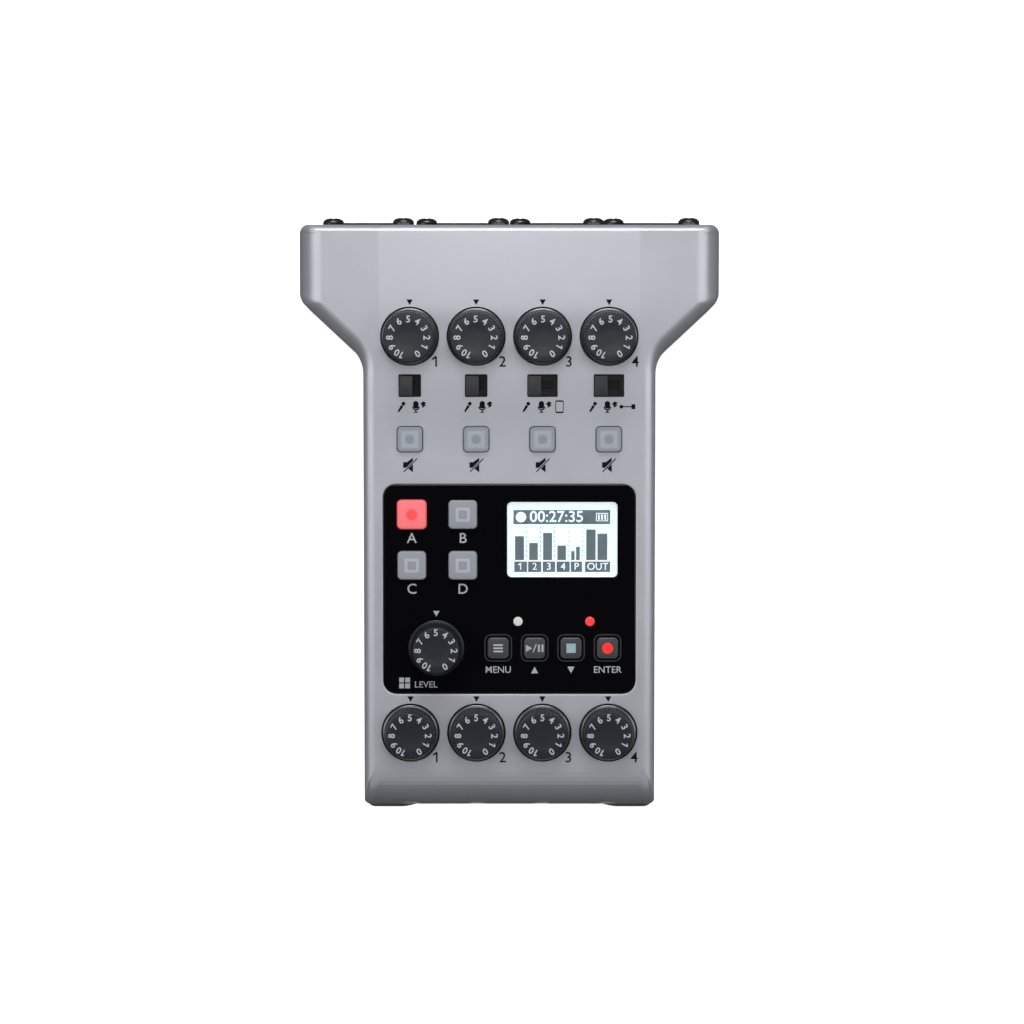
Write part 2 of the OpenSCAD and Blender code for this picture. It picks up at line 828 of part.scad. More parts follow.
module potentiometer() {
    difference() {
        box(pot_w, pot_w, -board_drop, -board_drop + pot_h);
        rod(shaft_r + turn_gap, -board_drop + pot_floor, 0);
    }
}

module potentiometers() {
    color("#8a8d90") {
        for (x = knob_x, t = [gain_t, phones_t])
            on_panel(x, t)
                potentiometer();
        on_panel(pad_knob_x, transport_t)
            potentiometer();
    }
}

function slider_travel(i) = slot_w[i] - slider_cap_w - 2 * slide_gap;

module slide_switch(i) {
    difference() {
        box(slot_w[i] + 2 * slide_body_margin, slide_body_d, -board_drop, -board_drop + slide_body_h);
        box(slider_travel(i) + slider_stem + 2 * slide_gap, slider_stem + 2 * slide_gap,
            -board_drop + slide_slot_floor, 0);
    }
}

module power_switch() {
    difference() {
        box(power_body.x, power_body.y, -wall_t - power_body.z, -wall_t);
        box(power_stem.x + power_travel + 2 * slide_gap, power_stem.y + 2 * slide_gap,
            -power_reach - slide_gap, 0);
    }
}

module key_switch() {
    box(key_switch_w, key_switch_w, -board_drop, -board_drop + key_switch_h);
}

// Switch bodies under the sliders and the keys.
module board_switches() {
    color("#55575a") {
        for (i = [0:3])
            on_panel(knob_x[i], slider_t)
                slide_switch(i);
        on_side(1, power_t, power_drop)
            power_switch();
        each_key(knob_x, mute_row)
            key_switch();
        each_key(pad_x, pad_t)
            key_switch();
        each_key(transport_x, transport_row)
            key_switch();
    }
}

// Dials

// A dial stands on the panel at local z = 0 and reaches into its hole.
module knob(rise, top_r) {
    difference() {
        rotate_extrude()
            polygon([[0, -knob_sink], [knob_r, -knob_sink], [knob_r, skirt_h - dial_edge],
                     [knob_r - dial_edge, skirt_h], [knob_r - skirt_step, skirt_h],
                     [top_r, rise - dial_edge], [top_r - dial_edge, rise], [0, rise]]);
        shaft_form(shaft_r + turn_gap, -knob_sink - cut_past, rise - knob_roof, shaft_flat - turn_gap);
    }
}

// Round below the flat's start, D-shaped above it.
module shaft_form(r, low, high, flat) {
    difference() {
        rod(r, low, high);
        translate([-r, r - flat, shaft_flat_start])
            cube([2 * r, r, high - shaft_flat_start + cut_past]);
    }
}

module shaft(rise) {
    shaft_form(shaft_r, -board_drop + pot_floor + seat_gap, rise - knob_roof - seat_gap, shaft_flat);
}

module gain_knob(i) {
    color("#2c2e33")
        on_panel(knob_x[i], gain_t)
            knob(gain_knob_h, gain_top_r);
}

module gain_shaft(i) {
    color("#9a9c9e")
        on_panel(knob_x[i], gain_t)
            shaft(gain_knob_h);
}

module phones_knob(i) {
    color("#2c2e33")
        on_panel(knob_x[i], phones_t)
            knob(phones_knob_h, low_top_r);
}

module phones_shaft(i) {
    color("#9a9c9e")
        on_panel(knob_x[i], phones_t)
            shaft(phones_knob_h);
}

module pad_knob() {
    color("#2c2e33")
        on_panel(pad_knob_x, transport_t)
            knob(pad_knob_h, low_top_r);
}

module pad_shaft() {
    color("#9a9c9e")
        on_panel(pad_knob_x, transport_t)
            shaft(pad_knob_h);
}

// Sliders and keys

// Rests at the left end of its window.
module input_slider(i) {
    color("#232428")
        on_panel(knob_x[i] - slider_travel(i) / 2, slider_t) {
            box(slider_cap_w, slot_d - 2 * slide_gap, -slider_drop, slider_proud);
            box(slider_stem, slider_stem, -slider_stem_drop, -slider_drop);
        }
}

// A square cap through the panel, with a flange under it and a stem over its switch.
module key(w) {
    flange = w + 2 * (slide_gap + key_flange);
    block(w, w, -panel_t - turn_gap, key_proud);
    block(flange, flange, -panel_t - turn_gap - key_flange_t, -panel_t - turn_gap);
    rod(key_stem_r, -board_drop + key_switch_h + key_switch_gap + key_travel,
        -panel_t - turn_gap - key_flange_t);
}

module mute_key(i) {
    color("#a9adb2")
        on_panel(knob_x[i], mute_t)
            key(mute_key_w);
}

module sound_pad(i) {
    color(i == 0 ? "#f0505a" : "#8e9196")
        on_panel(pad_x[i], pad_t[i])
            key(pad_w);
}

module transport_key(i) {
    color("#33363b")
        on_panel(transport_x[i], transport_t)
            key(transport_w);
}

// Rests at the front end of its slot.
module power_slider() {
    color("#232428")
        on_side(1, power_t, power_drop)
            translate([-power_travel / 2, 0, 0]) {
                box(power_cap.x, power_cap.y, -power_cap.z, 0);
                box(power_stem.x, power_stem.y, -power_reach, -power_cap.z);
            }
}

// Sockets

// The flanged shell that takes the plug's shell.
module xlr_shell() {
    difference() {
        union() {
            rod(xlr_barrel_r, xlr_floor, xlr_proud);
            box(xlr_flange_w, xlr_flange_h, -wall_t - xlr_flange_t, -wall_t);
        }
        rod(xlr_bore_r, xlr_floor - cut_past, xlr_proud + cut_past);
        xlr_screw_places()
            rod(xlr_screw_r + turn_gap, -wall_t - xlr_flange_t - cut_past, 0);
    }
}

module xlr_socket(i) {
    color("#1a1a1c")
        on_rear(xlr_x[i])
            xlr_shell();
}

module xlr_contact_places() {
    for (a = xlr_contact_angles)
        rotate([0, 0, a])
            translate([xlr_contact_ring, 0, 0])
                children();
}

// The back of each socket, and a nose that holds the contacts inside the shell.
module xlr_inserts() {
    color("#202022")
        for (x = xlr_x)
            on_rear(x)
                difference() {
                    union() {
                        rod(xlr_barrel_r, -xlr_depth, xlr_floor - turn_gap);
                        rod(xlr_insert_r, xlr_floor, -xlr_insert_back);
                    }
                    xlr_contact_places()
                        rod(xlr_contact_r + turn_gap, -xlr_depth - cut_past, 0);
                }
}

module xlr_contacts() {
    top = -xlr_insert_back - xlr_contact_back;
    color("#c8b070")
        for (x = xlr_x)
            on_rear(x)
                xlr_contact_places()
                    difference() {
                        rod(xlr_contact_r, -xlr_depth - xlr_tail, top);
                        rod(xlr_contact_bore, top - xlr_contact_deep, top + cut_past);
                    }
}

module xlr_screws() {
    color("#1e1e20")
        for (x = xlr_x)
            on_rear(x)
                xlr_screw_places()
                    difference() {
                        union() {
                            rod(screw_head_d / 2, seat_gap, screw_head_h);
                            rod(xlr_screw_r, -xlr_screw_l, 2 * seat_gap);
                        }
                        for (a = [0, 90])
                            rotate([0, 0, a])
                                box(cross_l, cross_w, screw_head_h - cross_deep, screw_head_h + cut_past);
                    }
}

module small_jack() {
    difference() {
        union() {
            rod(jack_nose_d / 2, -jack_nose_l - seat_gap, 0);
            box(jack_body_w, jack_body_h, -jack_nose_l - jack_body_l, -jack_nose_l);
        }
        rod(jack_bore_d / 2, -jack_bore_l, cut_past);
    }
}

module small_jacks() {
    color("#141416") {
        for (x = knob_x)
            on_front(x)
                small_jack();
        on_side(1, phone_jack_t, jack_drop)
            small_jack();
    }
}

module usb_socket() {
    inner_w = usb_w - 2 * usb_skin;
    inner_h = usb_h - 2 * usb_skin;
    difference() {
        block(usb_w, usb_h, -usb_l, 0, usb_h / 2 - seat_gap);
        block(inner_w, inner_h, -usb_deep, cut_past, inner_h / 2 - seat_gap);
    }
    box(usb_tongue.x, usb_tongue.y, -usb_deep - usb_skin, -usb_deep + usb_tongue.z);
}

module usb_sockets() {
    color("#b8babc")
        for (i = [0:1])
            on_side(1, usb_t + i * usb_pitch, usb_drop)
                usb_socket();
}

module card_socket() {
    color("#a8aaac")
        on_side(-1, card_t, card_drop)
            difference() {
                box(card_w, card_h, -wall_t - card_l, -wall_t);
                box(card_slot.x, card_slot.y, -wall_t - card_l + cut_past, 0);
            }
}

// Swings out about two pins at its lower edge.
module card_cover() {
    color("#3c3f44")
        on_side(-1, card_t, card_drop)
            translate([0, -cover_low, -seat_gap - cover_t / 2]) {
                rotate([0, 90, 0]) {
                    rod(cover_t / 2, -cover_w / 2, cover_w / 2);
                    rod(cover_pin_r, -cover_w / 2 - cover_pin_l, cover_w / 2 + cover_pin_l);
                }
                translate([0, cover_h / 2, 0])
                    box(cover_w, cover_h, -cover_t / 2, cover_t / 2);
            }
}

// Battery

module battery_cells() {
    color("#3f6f4a")
        for (side = [-1, 1])
            translate([0, well_y + side * (cell_d + cell_gap) / 2, cell_z])
                rotate([0, side * 90, 0]) {
                    rod(cell_d / 2, -cell_l / 2, cell_l / 2 - cell_nub_l);
                    rod(cell_nub_r, cell_l / 2 - cell_nub_l - seat_gap, cell_l / 2);
                }
}

module battery_contacts() {
    color("#c0c2c4")
        for (end = [-1, 1], side = [-1, 1])
            translate([end * (well_w - contact_t) / 2, well_y + side * (cell_d + cell_gap) / 2, cell_z])
                rotate([0, 90, 0])
                    box(contact_size.y, contact_size.x, -contact_t / 2, contact_t / 2);
}

module battery_door() {
    color("#3c3f44")
        translate([0, well_y, 0])
            box(door_w, door_d, foot_h, foot_h + door_t);
}

top_case();
bottom_case();
control_plate();
display_window();
display_module();
main_board();
xlr_inserts();
xlr_contacts();
xlr_screws();
small_jacks();
usb_sockets();
card_socket();
potentiometers();
board_switches();
indicator_lenses();
battery_cells();
battery_contacts();
rubber_feet();
case_screws();
pad_knob();
pad_shaft();
transport_key(0);  // menu_key
transport_key(1);  // play_key
transport_key(2);  // stop_key
transport_key(3);  // record_key
power_slider();
card_cover();
battery_door();
for (i = [0:3]) {
    xlr_socket(i);
    gain_knob(i);
    gain_shaft(i);
    phones_knob(i);
    phones_shaft(i);
    input_slider(i);
    mute_key(i);
    sound_pad(i);
}
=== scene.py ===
import json
import math

import bmesh
import bpy
from bpy.props import FloatProperty, FloatVectorProperty, IntProperty, PointerProperty
from mathutils import Matrix, Vector


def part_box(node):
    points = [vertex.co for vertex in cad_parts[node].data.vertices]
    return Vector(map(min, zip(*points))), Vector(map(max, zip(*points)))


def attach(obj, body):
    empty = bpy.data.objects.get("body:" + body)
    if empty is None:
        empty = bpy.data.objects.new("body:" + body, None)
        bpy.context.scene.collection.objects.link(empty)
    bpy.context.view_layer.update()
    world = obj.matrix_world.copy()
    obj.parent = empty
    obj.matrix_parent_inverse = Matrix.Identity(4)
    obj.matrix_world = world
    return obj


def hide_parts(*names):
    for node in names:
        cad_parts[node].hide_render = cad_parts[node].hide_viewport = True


bl_info = {
    "name": "Podcast recorder",
    "version": (1, 0, 0),
    "blender": (4, 5, 0),
    "location": "View3D > Sidebar > Recorder",
    "description": "Dresses the packed construction of a desk recorder with dials",
    "category": "Object",
}

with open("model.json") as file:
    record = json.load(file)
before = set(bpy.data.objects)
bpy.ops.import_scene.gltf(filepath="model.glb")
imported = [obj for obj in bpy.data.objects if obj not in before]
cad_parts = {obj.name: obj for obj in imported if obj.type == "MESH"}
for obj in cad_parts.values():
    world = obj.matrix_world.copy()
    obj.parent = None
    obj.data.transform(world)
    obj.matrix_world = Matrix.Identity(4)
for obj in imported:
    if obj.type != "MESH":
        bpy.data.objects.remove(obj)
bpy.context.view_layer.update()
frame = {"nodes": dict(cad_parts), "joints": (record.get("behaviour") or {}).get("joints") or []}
NODES = frame["nodes"]
JOINTS = {joint["name"]: joint for joint in frame["joints"]}
HOUSING = "housing"

# Lengths below are in millimetres, and pieces are scaled to metres when they are made.
MM = 0.001
IDENTITY = Matrix.Identity(4)

# The panel's frame comes from the first gain dial: local y runs up the slope, local z out of the panel.
NORMAL = Vector(JOINTS["gain_dial_1_turn"]["axis"])
UPHILL = Vector((0, NORMAL.z, -NORMAL.y))
TILT = math.atan2(-NORMAL.y, NORMAL.z)
GAIN_T = 29.5
PANEL_START = Vector((0, *(Vector(JOINTS["gain_dial_1_turn"]["pos_m"]) / MM).yz)) + UPHILL * GAIN_T

# Main lines of the case
CASE_LOW, CASE_HIGH = (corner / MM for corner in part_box("top_case"))
HEAD_W = CASE_HIGH.x - CASE_LOW.x
REAR_Y = PANEL_START.y
FACE_Y = CASE_LOW.y
NECK_W = 77.8
HEAD_SIDE = 19.5
SHOULDER_Y = REAR_Y - HEAD_SIDE
SHOULDER_ANGLE = math.radians(43)
SPLIT_Z = 5
WALL_T = 2
PANEL_T = 2.4
CREASE_X = 34.7
CREASE_GAP = 0.1
WING_SLOPE = math.radians(4)
EDGE_REACH = (2.3, 6.5, 4, 3.2, 11)
EDGE_FALL = (2.5, 7, 5, 2.4, 16)
CORNER_R = (2.3, 5, 9, 2.2)
LEAST_CORNER = 0.4
CUT_PAST = 1


def joint_place(name):
    """Where a dial stands on the panel: x, and the distance t down the slope from the rear wall."""
    place = Vector(JOINTS[name]["pos_m"]) / MM
    return place.x, (REAR_Y - place.y) / UPHILL.y


def axes_matrix(x_axis, y_axis, z_axis, origin):
    """Matrix that carries local axes to the given directions and the local origin to a point."""
    turn = Matrix((x_axis, y_axis, z_axis)).transposed().to_4x4()
    return Matrix.Translation(origin) @ turn


PHONES_T = joint_place("phones_dial_1_turn")[1]
PAD_DIAL_X, TRANSPORT_T = joint_place("pad_dial_turn")
DIAL_X = [joint_place(f"gain_dial_{i}_turn")[0] for i in range(1, 5)]
PANEL = axes_matrix((1, 0, 0), UPHILL, NORMAL, PANEL_START)

# Rows and pieces on the panel
SLIDER_T = 42.6
MUTE_T = 56.85
SLOT_W = (6, 6, 8.1, 8.1)
SLOT_D = 6.05
SLOT_CORNER = 0.35
SLIDER_W = 3.6
SLIDER_PROUD = 0.7
SLIDER_FOOT = -3.9
SLIDER_STEM = (1.8, 1.8, 0.2)
SLIDER_STEM_FOOT = -6.6
SLIDE_GAP = 0.2
KEY_CORNER = 1.1
KEY_PROUD = 1
KEY_FLANGE = 1
MUTE_W = 6.7
PAD_W = 7.6
TRANSPORT_W = 5.7
PLATE_W = 67.4
PLATE_D = 56.1
PLATE_T = 1.2
PLATE_CORNER = 3.5
PLATE_GAP = 0.1
PLATE_GROOVE = (0.4, 0.22)
PLATE_START = 68.9
PLATE_MID = PLATE_START + PLATE_D / 2
PAD_PITCH = 13.6
PAD_FROM_SIDE = 7.7
PAD_FROM_REAR = 8
PAD_X = [-PLATE_W / 2 + PAD_FROM_SIDE + i % 2 * PAD_PITCH for i in range(4)]
PAD_T = [PLATE_START + PAD_FROM_REAR + i // 2 * PAD_PITCH for i in range(4)]
WINDOW_W = 29.4
WINDOW_D = 20.1
WINDOW_CORNER = 1.2
WINDOW_LEDGE = 2
WINDOW_FROM_SIDE = 4.9
WINDOW_FROM_REAR = 4.7
WINDOW_X = PLATE_W / 2 - WINDOW_FROM_SIDE - WINDOW_W / 2
WINDOW_T = PLATE_START + WINDOW_FROM_REAR + WINDOW_D / 2
TRANSPORT_PITCH = 9.73
TRANSPORT_FROM_SIDE = 7.5
TRANSPORT_X = [PLATE_W / 2 - TRANSPORT_FROM_SIDE - (3 - i) * TRANSPORT_PITCH for i in range(4)]
TRANSPORT_KEYS = ("menu_key", "play_key", "stop_key", "record_key")
# Lighter frames round the transport keys: a painted highlight standing in for the light on the bevels of their
# holes
KEY_HIGHLIGHT_RIM_OUTER = (7.4, 7.4, 1.8)
KEY_HIGHLIGHT_RIM_INNER = (6.7, 6.7, 1.4)
KEY_HIGHLIGHT_RIM_H = 0.14
LENS_R = 1.2
LENS_GAP = 0.05
LENS_X = (WINDOW_X - 11.8, WINDOW_X + 7.4)
LENS_T = TRANSPORT_T - 7.1

# Dials
KNOB_R = 7.45
KNOB_GAP = 0.4
KNOB_SINK = 1.4
SKIRT_H = 0.7
SKIRT_EDGE = 0.25
SKIRT_STEP = 0.5
DIAL_SIZES = {"gain": (13.2, 6.85), "phones": (6.2, 6.35), "pad": (7, 6.35)}
DIGITS = range(11)
DIGIT_STEP = math.radians(30)

# Sockets
XLR_X = [(i - 1.5) * 25.4 for i in range(4)]
XLR_DROP = 17.7
XLR_HOLE_R = 10.35
XLR_SCREW_DX = 19.6
XLR_SCREW_DZ = 18.4
SCREW_HEAD_R = 2.85
SCREW_HEAD_H = 1.9
SCREW_R = 1.4
SCREW_L = 5.5
BOARD_UNDER = 9.6
JACK_NOSE_R = 3
JACK_GAP = 0.1
JACK_CUT = 6
JACK_DROP = BOARD_UNDER + 2.5
JACK_RECESS = 1.6
USB_T = (80, 92)
USB_MOUTH = (9.2, 3.4, 1.6)
USB_DROP = BOARD_UNDER + 1.6
PHONE_JACK_T = 106
POWER_T = 58
POWER_DROP = BOARD_UNDER + 2
POWER_CAP = (7, 3, 1)
POWER_STEM = (2.4, 1.8)
POWER_CORNER = 0.6
STEM_CORNER = 0.3
POWER_TRAVEL = 3
CARD_T = 96
CARD_MOUTH = (24.6, 2.2, 0.3)
CARD_DROP = BOARD_UNDER + 1.4
COVER_W = 30
COVER_H = 8
COVER_T = 1.1
COVER_LOW = COVER_H / 2 + 0.6
COVER_GAP = 0.2
COVER_CORNER = 0.5

PRINT_T = 0.03
EDGE_STEPS = 4
# Height of a capital letter over the size of the built-in typeface
CAPITAL_SHARE = 0.69


def on_panel(x, t, lift=0):
    """Frame at a place on the panel."""
    return PANEL @ Matrix.Translation((x, -t, lift))


def on_side(side, t, drop):
    """Frame on a side wall of the neck: local x along the slope, y up the wall, z out of it."""
    turn = Matrix.Rotation(side * math.pi / 2, 4, "Z") @ Matrix.Rotation(math.pi / 2, 4, "X")
    return on_panel(side * NECK_W / 2, t, -drop) @ turn


def on_rear(x):
    """Frame on the rear wall, which is square to the panel: local y up the wall, z out of it."""
    return on_panel(x, 0, -XLR_DROP) @ axes_matrix((-1, 0, 0), (0, 0, 1), (0, 1, 0), (0, 0, 0))


def box_centre(node):
    """Middle of a node's box, in millimetres."""
    low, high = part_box(node)
    return (low + high) / 2 / MM


# Settings that a user may change


class CaseLook(bpy.types.PropertyGroup):
    paint: FloatVectorProperty(name="Paint", description="Silver paint of the top case", subtype="COLOR",
                               default=(0.43, 0.445, 0.485))
    dark: FloatVectorProperty(name="Dark plastic", description="Bottom case, doors and covers", subtype="COLOR",
                              default=(0.06, 0.062, 0.065))
    plate: FloatVectorProperty(name="Plate", description="Glossy control plate", subtype="COLOR",
                               default=(0.0025, 0.0025, 0.0035))
    ink: FloatVectorProperty(name="Dark print", description="Marks printed on the paint", subtype="COLOR",
                             default=(0.004, 0.005, 0.009))
    pale_ink: FloatVectorProperty(name="Pale print", description="Marks printed on the plate", subtype="COLOR",
                                  default=(0.36, 0.38, 0.4))
    arc_steps: IntProperty(name="Corner steps", description="Steps round each corner of the plan", default=12,
                           min=3, max=32)
    round_steps: IntProperty(name="Rounding steps", description="Steps over the rounded edges", default=14,
                             min=3, max=32)


class DialLook(bpy.types.PropertyGroup):
    colour: FloatVectorProperty(name="Dial", description="Moulded grey of the dials", subtype="COLOR",
                                default=(0.008, 0.0105, 0.0165))
    digits: FloatVectorProperty(name="Digits", description="Printed numbers on the dials", subtype="COLOR",
                                default=(0.45, 0.47, 0.49))
    ribs: IntProperty(name="Ribs", description="Grip ribs round one dial", default=54, min=12, max=96)
    rib_depth: FloatProperty(name="Rib depth", description="Depth of the grooves of the grip", unit="LENGTH",
                             default=0.22 * MM)
    digit_height: FloatProperty(name="Digit height", description="Height of the numbers", unit="LENGTH",
                                default=1.72 * MM)
    digit_ring: FloatProperty(name="Digit circle", description="Radius of the circle of numbers", unit="LENGTH",
                              default=4.77 * MM)


class KeyLook(bpy.types.PropertyGroup):
    mute: FloatVectorProperty(name="Mute keys", description="Frosted grey of the mute keys", subtype="COLOR",
                              default=(0.26, 0.285, 0.325))
    pad: FloatVectorProperty(name="Pads", description="Frosted grey of the unlit pads", subtype="COLOR",
                             default=(0.265, 0.28, 0.315))
    lit: FloatVectorProperty(name="Lit pad", description="Glow of the lit pad", subtype="COLOR",
                             default=(0.56, 0.105, 0.115))
    transport: FloatVectorProperty(name="Transport keys", description="Dark grey of the transport keys",
                                   subtype="COLOR", default=(0.035, 0.039, 0.046))
    edge: FloatProperty(name="Edge radius", description="Rounding of the keys' upper edges", unit="LENGTH",
                        default=0.4 * MM)


class DisplayLook(bpy.types.PropertyGroup):
    backlight: FloatVectorProperty(name="Backlight", description="Colour of the lit display", subtype="COLOR",
                                   default=(0.76, 0.87, 0.92))
    segment: FloatVectorProperty(name="Segments", description="Colour of the shown marks", subtype="COLOR",
                                 default=(0.1, 0.137, 0.155))
    strength: FloatProperty(name="Strength", description="Strength of the backlight", default=0.55, min=0)


class StageLook(bpy.types.PropertyGroup):
    floor: FloatVectorProperty(name="Floor", description="Pale floor under the part", subtype="COLOR",
                               default=(0.93, 0.93, 0.93))
    height: FloatProperty(name="Camera height", description="Camera's height over the floor", unit="LENGTH",
                          default=0.94)
    lens: FloatProperty(name="Lens", description="Focal length of the camera in millimetres", default=120.2)
    top_power: FloatProperty(name="Top light", description="Power of the light above", unit="POWER",
                             default=0.43)
    side_power: FloatProperty(name="Side lights", description="Power of each side light", unit="POWER",
                              default=3.3)
    rear_power: FloatProperty(name="Rear light", description="Power of the light behind", unit="POWER",
                              default=4)
    front_power: FloatProperty(name="Front light", description="Power of the light in front", unit="POWER",
                               default=1.4)


LOOKS = {"recorder_case": CaseLook, "recorder_dials": DialLook, "recorder_keys": KeyLook,
         "recorder_display": DisplayLook, "recorder_stage": StageLook}


def look(name):
    """The settings of one group of pieces."""
    return getattr(bpy.context.scene, "recorder_" + name)


# Outlines and solids


def corner_arc(before, tip, after, radius, steps):
    """Points of the arc that rounds a corner between two straight sides."""
    first = (before - tip).normalized()
    second = (after - tip).normalized()
    half = first.angle(second) / 2
    centre = tip + (first + second).normalized() * radius / math.sin(half)
    start = tip + first * radius / math.tan(half) - centre
    stop = tip + second * radius / math.tan(half) - centre
    sweep = math.atan2(start.x * stop.y - start.y * stop.x, start.dot(stop))
    return [centre + Matrix.Rotation(sweep * i / steps, 2) @ start for i in range(steps + 1)]


def round_rectangle(w, d, r, steps=6):
    """A centred rectangle with round corners, counter-clockwise."""
    tips = [Vector((sx * w / 2, sy * d / 2)) for sx, sy in ((1, 1), (-1, 1), (-1, -1), (1, -1))]
    corners = [corner_arc(tips[i - 1], tips[i], tips[(i + 1) % 4], r, steps) for i in range(4)]
    return [p for corner in corners for p in corner]


def round_ring(w, d, r, z):
    return [p.to_3d() + Vector((0, 0, z)) for p in round_rectangle(w, d, r)]


def circle_ring(r, z, steps=64):
    turns = [math.tau * i / steps for i in range(steps)]
    return [Vector((r * math.cos(a), r * math.sin(a), z)) for a in turns]


def add_loft(bm, rings, matrix=IDENTITY):
    """Skins a stack of rings and closes both ends. Returns the rows of vertices."""
    rows = [[bm.verts.new(matrix @ p) for p in ring] for ring in rings]
    for low, high in zip(rows, rows[1:]):
        for i in range(len(low)):
            bm.faces.new((low[i - 1], low[i], high[i], high[i - 1]))
    bm.faces.new(rows[0][::-1])
    bm.faces.new(rows[-1])
    return rows


def add_rod(bm, r, low, high, matrix=IDENTITY, steps=64):
    add_loft(bm, [circle_ring(r, low, steps), circle_ring(r, high, steps)], matrix)


def add_block(bm, w, d, r, low, high, matrix=IDENTITY, edge=0):
    """A block with round corners; edge rounds its upper rim."""
    rings = [round_ring(w, d, r, low)]
    if edge:
        for k in range(EDGE_STEPS + 1):
            a = math.pi / 2 * k / EDGE_STEPS
            inset = edge * (1 - math.cos(a))
            rings.append(round_ring(w - 2 * inset, d - 2 * inset, r - inset, high - edge * (1 - math.sin(a))))
    else:
        rings.append(round_ring(w, d, r, high))
    add_loft(bm, rings, matrix)


def add_slab(bm, outline, matrix, low=0, high=PRINT_T):
    """A thin flat shape with the given outline."""
    add_loft(bm, [[Vector((x, y, z)) for x, y in outline] for z in (low, high)], matrix)


def add_frame(bm, outer, inner, matrix, low=0, high=PRINT_T):
    """A flat band between two outlines with as many points."""
    lines = [(outer, low), (outer, high), (inner, high), (inner, low)]
    rows = [[bm.verts.new(matrix @ Vector((x, y, z))) for x, y in line] for line, z in lines]
    for first, second in zip(rows, rows[1:] + rows[:1]):
        for i in range(len(first)):
            bm.faces.new((first[i - 1], first[i], second[i], second[i - 1]))


def add_copies(bm, source, matrices):
    """Adds a copy of one bmesh at each place."""
    mesh = bpy.data.meshes.new("copy")
    for matrix in matrices:
        source.to_mesh(mesh)
        mesh.transform(matrix)
        bm.from_mesh(mesh)
    bpy.data.meshes.remove(mesh)


def rectangle(w, d, x=0, y=0):
    return [(x - w / 2, y - d / 2), (x + w / 2, y - d / 2), (x + w / 2, y + d / 2), (x - w / 2, y + d / 2)]


def disc(r, x=0, y=0, steps=32):
    return [(x + p.x, y + p.y) for p in circle_ring(r, 0, steps)]


def bare_object(bm):
    mesh = bpy.data.meshes.new("carving")
    bm.to_mesh(mesh)
    bm.free()
    holder = bpy.data.objects.new("carving", mesh)
    bpy.context.scene.collection.objects.link(holder)
    return holder


def remove_object(holder):
    data = holder.data
    bpy.data.objects.remove(holder)
    if isinstance(data, bpy.types.Mesh):
        bpy.data.meshes.remove(data)
    else:
        bpy.data.curves.remove(data)


def carve(solid, cutter):
    """The first solid with the second one taken away."""
    bmesh.ops.recalc_face_normals(solid, faces=solid.faces)
    bmesh.ops.recalc_face_normals(cutter, faces=cutter.faces)
    body = bare_object(solid)
    tool = bare_object(cutter)
    change = body.modifiers.new("carve", "BOOLEAN")
    change.operation = "DIFFERENCE"
    change.solver = "EXACT"
    change.object = tool
    done = bpy.data.meshes.new_from_object(body.evaluated_get(bpy.context.evaluated_depsgraph_get()))
    result = bmesh.new()
    result.from_mesh(done)
    bpy.data.meshes.remove(done)
    remove_object(body)
    remove_object(tool)
    return result


def text_mesh(words, height, align, bold):
    """A thin mesh of printed words whose capitals have the given height."""
    curve = bpy.data.curves.new("print", "FONT")
    curve.body = words
    curve.align_x = align
    curve.align_y = "CENTER"
    curve.size = height / CAPITAL_SHARE
    curve.extrude = PRINT_T / 2
    curve.offset = bold * height
    curve.resolution_u = 4
    holder = bpy.data.objects.new("print", curve)
    bpy.context.scene.collection.objects.link(holder)
    bpy.context.view_layer.update()
    mesh = bpy.data.meshes.new_from_object(holder.evaluated_get(bpy.context.evaluated_depsgraph_get()))
    remove_object(holder)
    return mesh


def add_words(bm, words, height, matrix, align="CENTER", bold=0.01):
    mesh = text_mesh(words, height, align, bold)
    left = min(vertex.co.x for vertex in mesh.vertices)
    top = max(vertex.co.y for vertex in mesh.vertices)
    mesh.transform(matrix @ Matrix.Translation((0, 0, PRINT_T / 2)))
    bm.from_mesh(mesh)
    bpy.data.meshes.remove(mesh)
    if words.startswith("1"):
        add_flag(bm, left, top, height, matrix)


def add_flag(bm, left, top, height, matrix):
    """The flag of a one, which the typeface draws as a bare bar."""
    reach = 0.28 * height
    thick = 0.2 * height
    add_slab(bm, [(left, top - thick), (left, top), (left - reach, top - 0.7 * reach),
                  (left - reach, top - 0.7 * reach - thick)], matrix)


def make_piece(name, bm, material, body=HOUSING, stands_for=(), place=None, sharp=35):
    """Finishes a bmesh as a piece that rides on a body. With a place, the mesh keeps its local frame."""
    bmesh.ops.recalc_face_normals(bm, faces=bm.faces)
    limit = math.radians(sharp)
    for edge in bm.edges:
        edge.smooth = len(edge.link_faces) == 2 and edge.calc_face_angle() < limit
    for face in bm.faces:
        face.smooth = True
    bm.transform(Matrix.Scale(MM, 4))
    mesh = bpy.data.meshes.new(name)
    bm.to_mesh(mesh)
    bm.free()
    mesh.materials.append(material)
    piece = bpy.data.objects.new(name, mesh)
    bpy.context.scene.collection.objects.link(piece)
    if place is not None:
        matrix = place.copy()
        matrix.translation *= MM
        piece.matrix_world = matrix
    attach(piece, body)
    if stands_for:
        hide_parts(*stands_for)
    return piece


def even_normals(piece):
    """Keeps large flat faces flat where they meet a rounding."""
    weighted = piece.modifiers.new("even normals", "WEIGHTED_NORMAL")
    weighted.keep_sharp = True
    return piece


def sharpen_crease(piece):
    """Keeps the fold between the panel's flat strip and its wings crisp."""
    points = piece.data.vertices
    for edge in piece.data.edges:
        if all(abs(abs(points[i].co.x) - CREASE_X * MM) < 0.01 * MM for i in edge.vertices):
            edge.use_edge_sharp = True
    return piece


def dress_node(node, material):
    """Gives a CAD node a finish."""
    shown = NODES[node]
    if not shown.material_slots:
        shown.data.materials.append(material)
    for holder in shown.material_slots:
        holder.material = material


# Shared shader groups


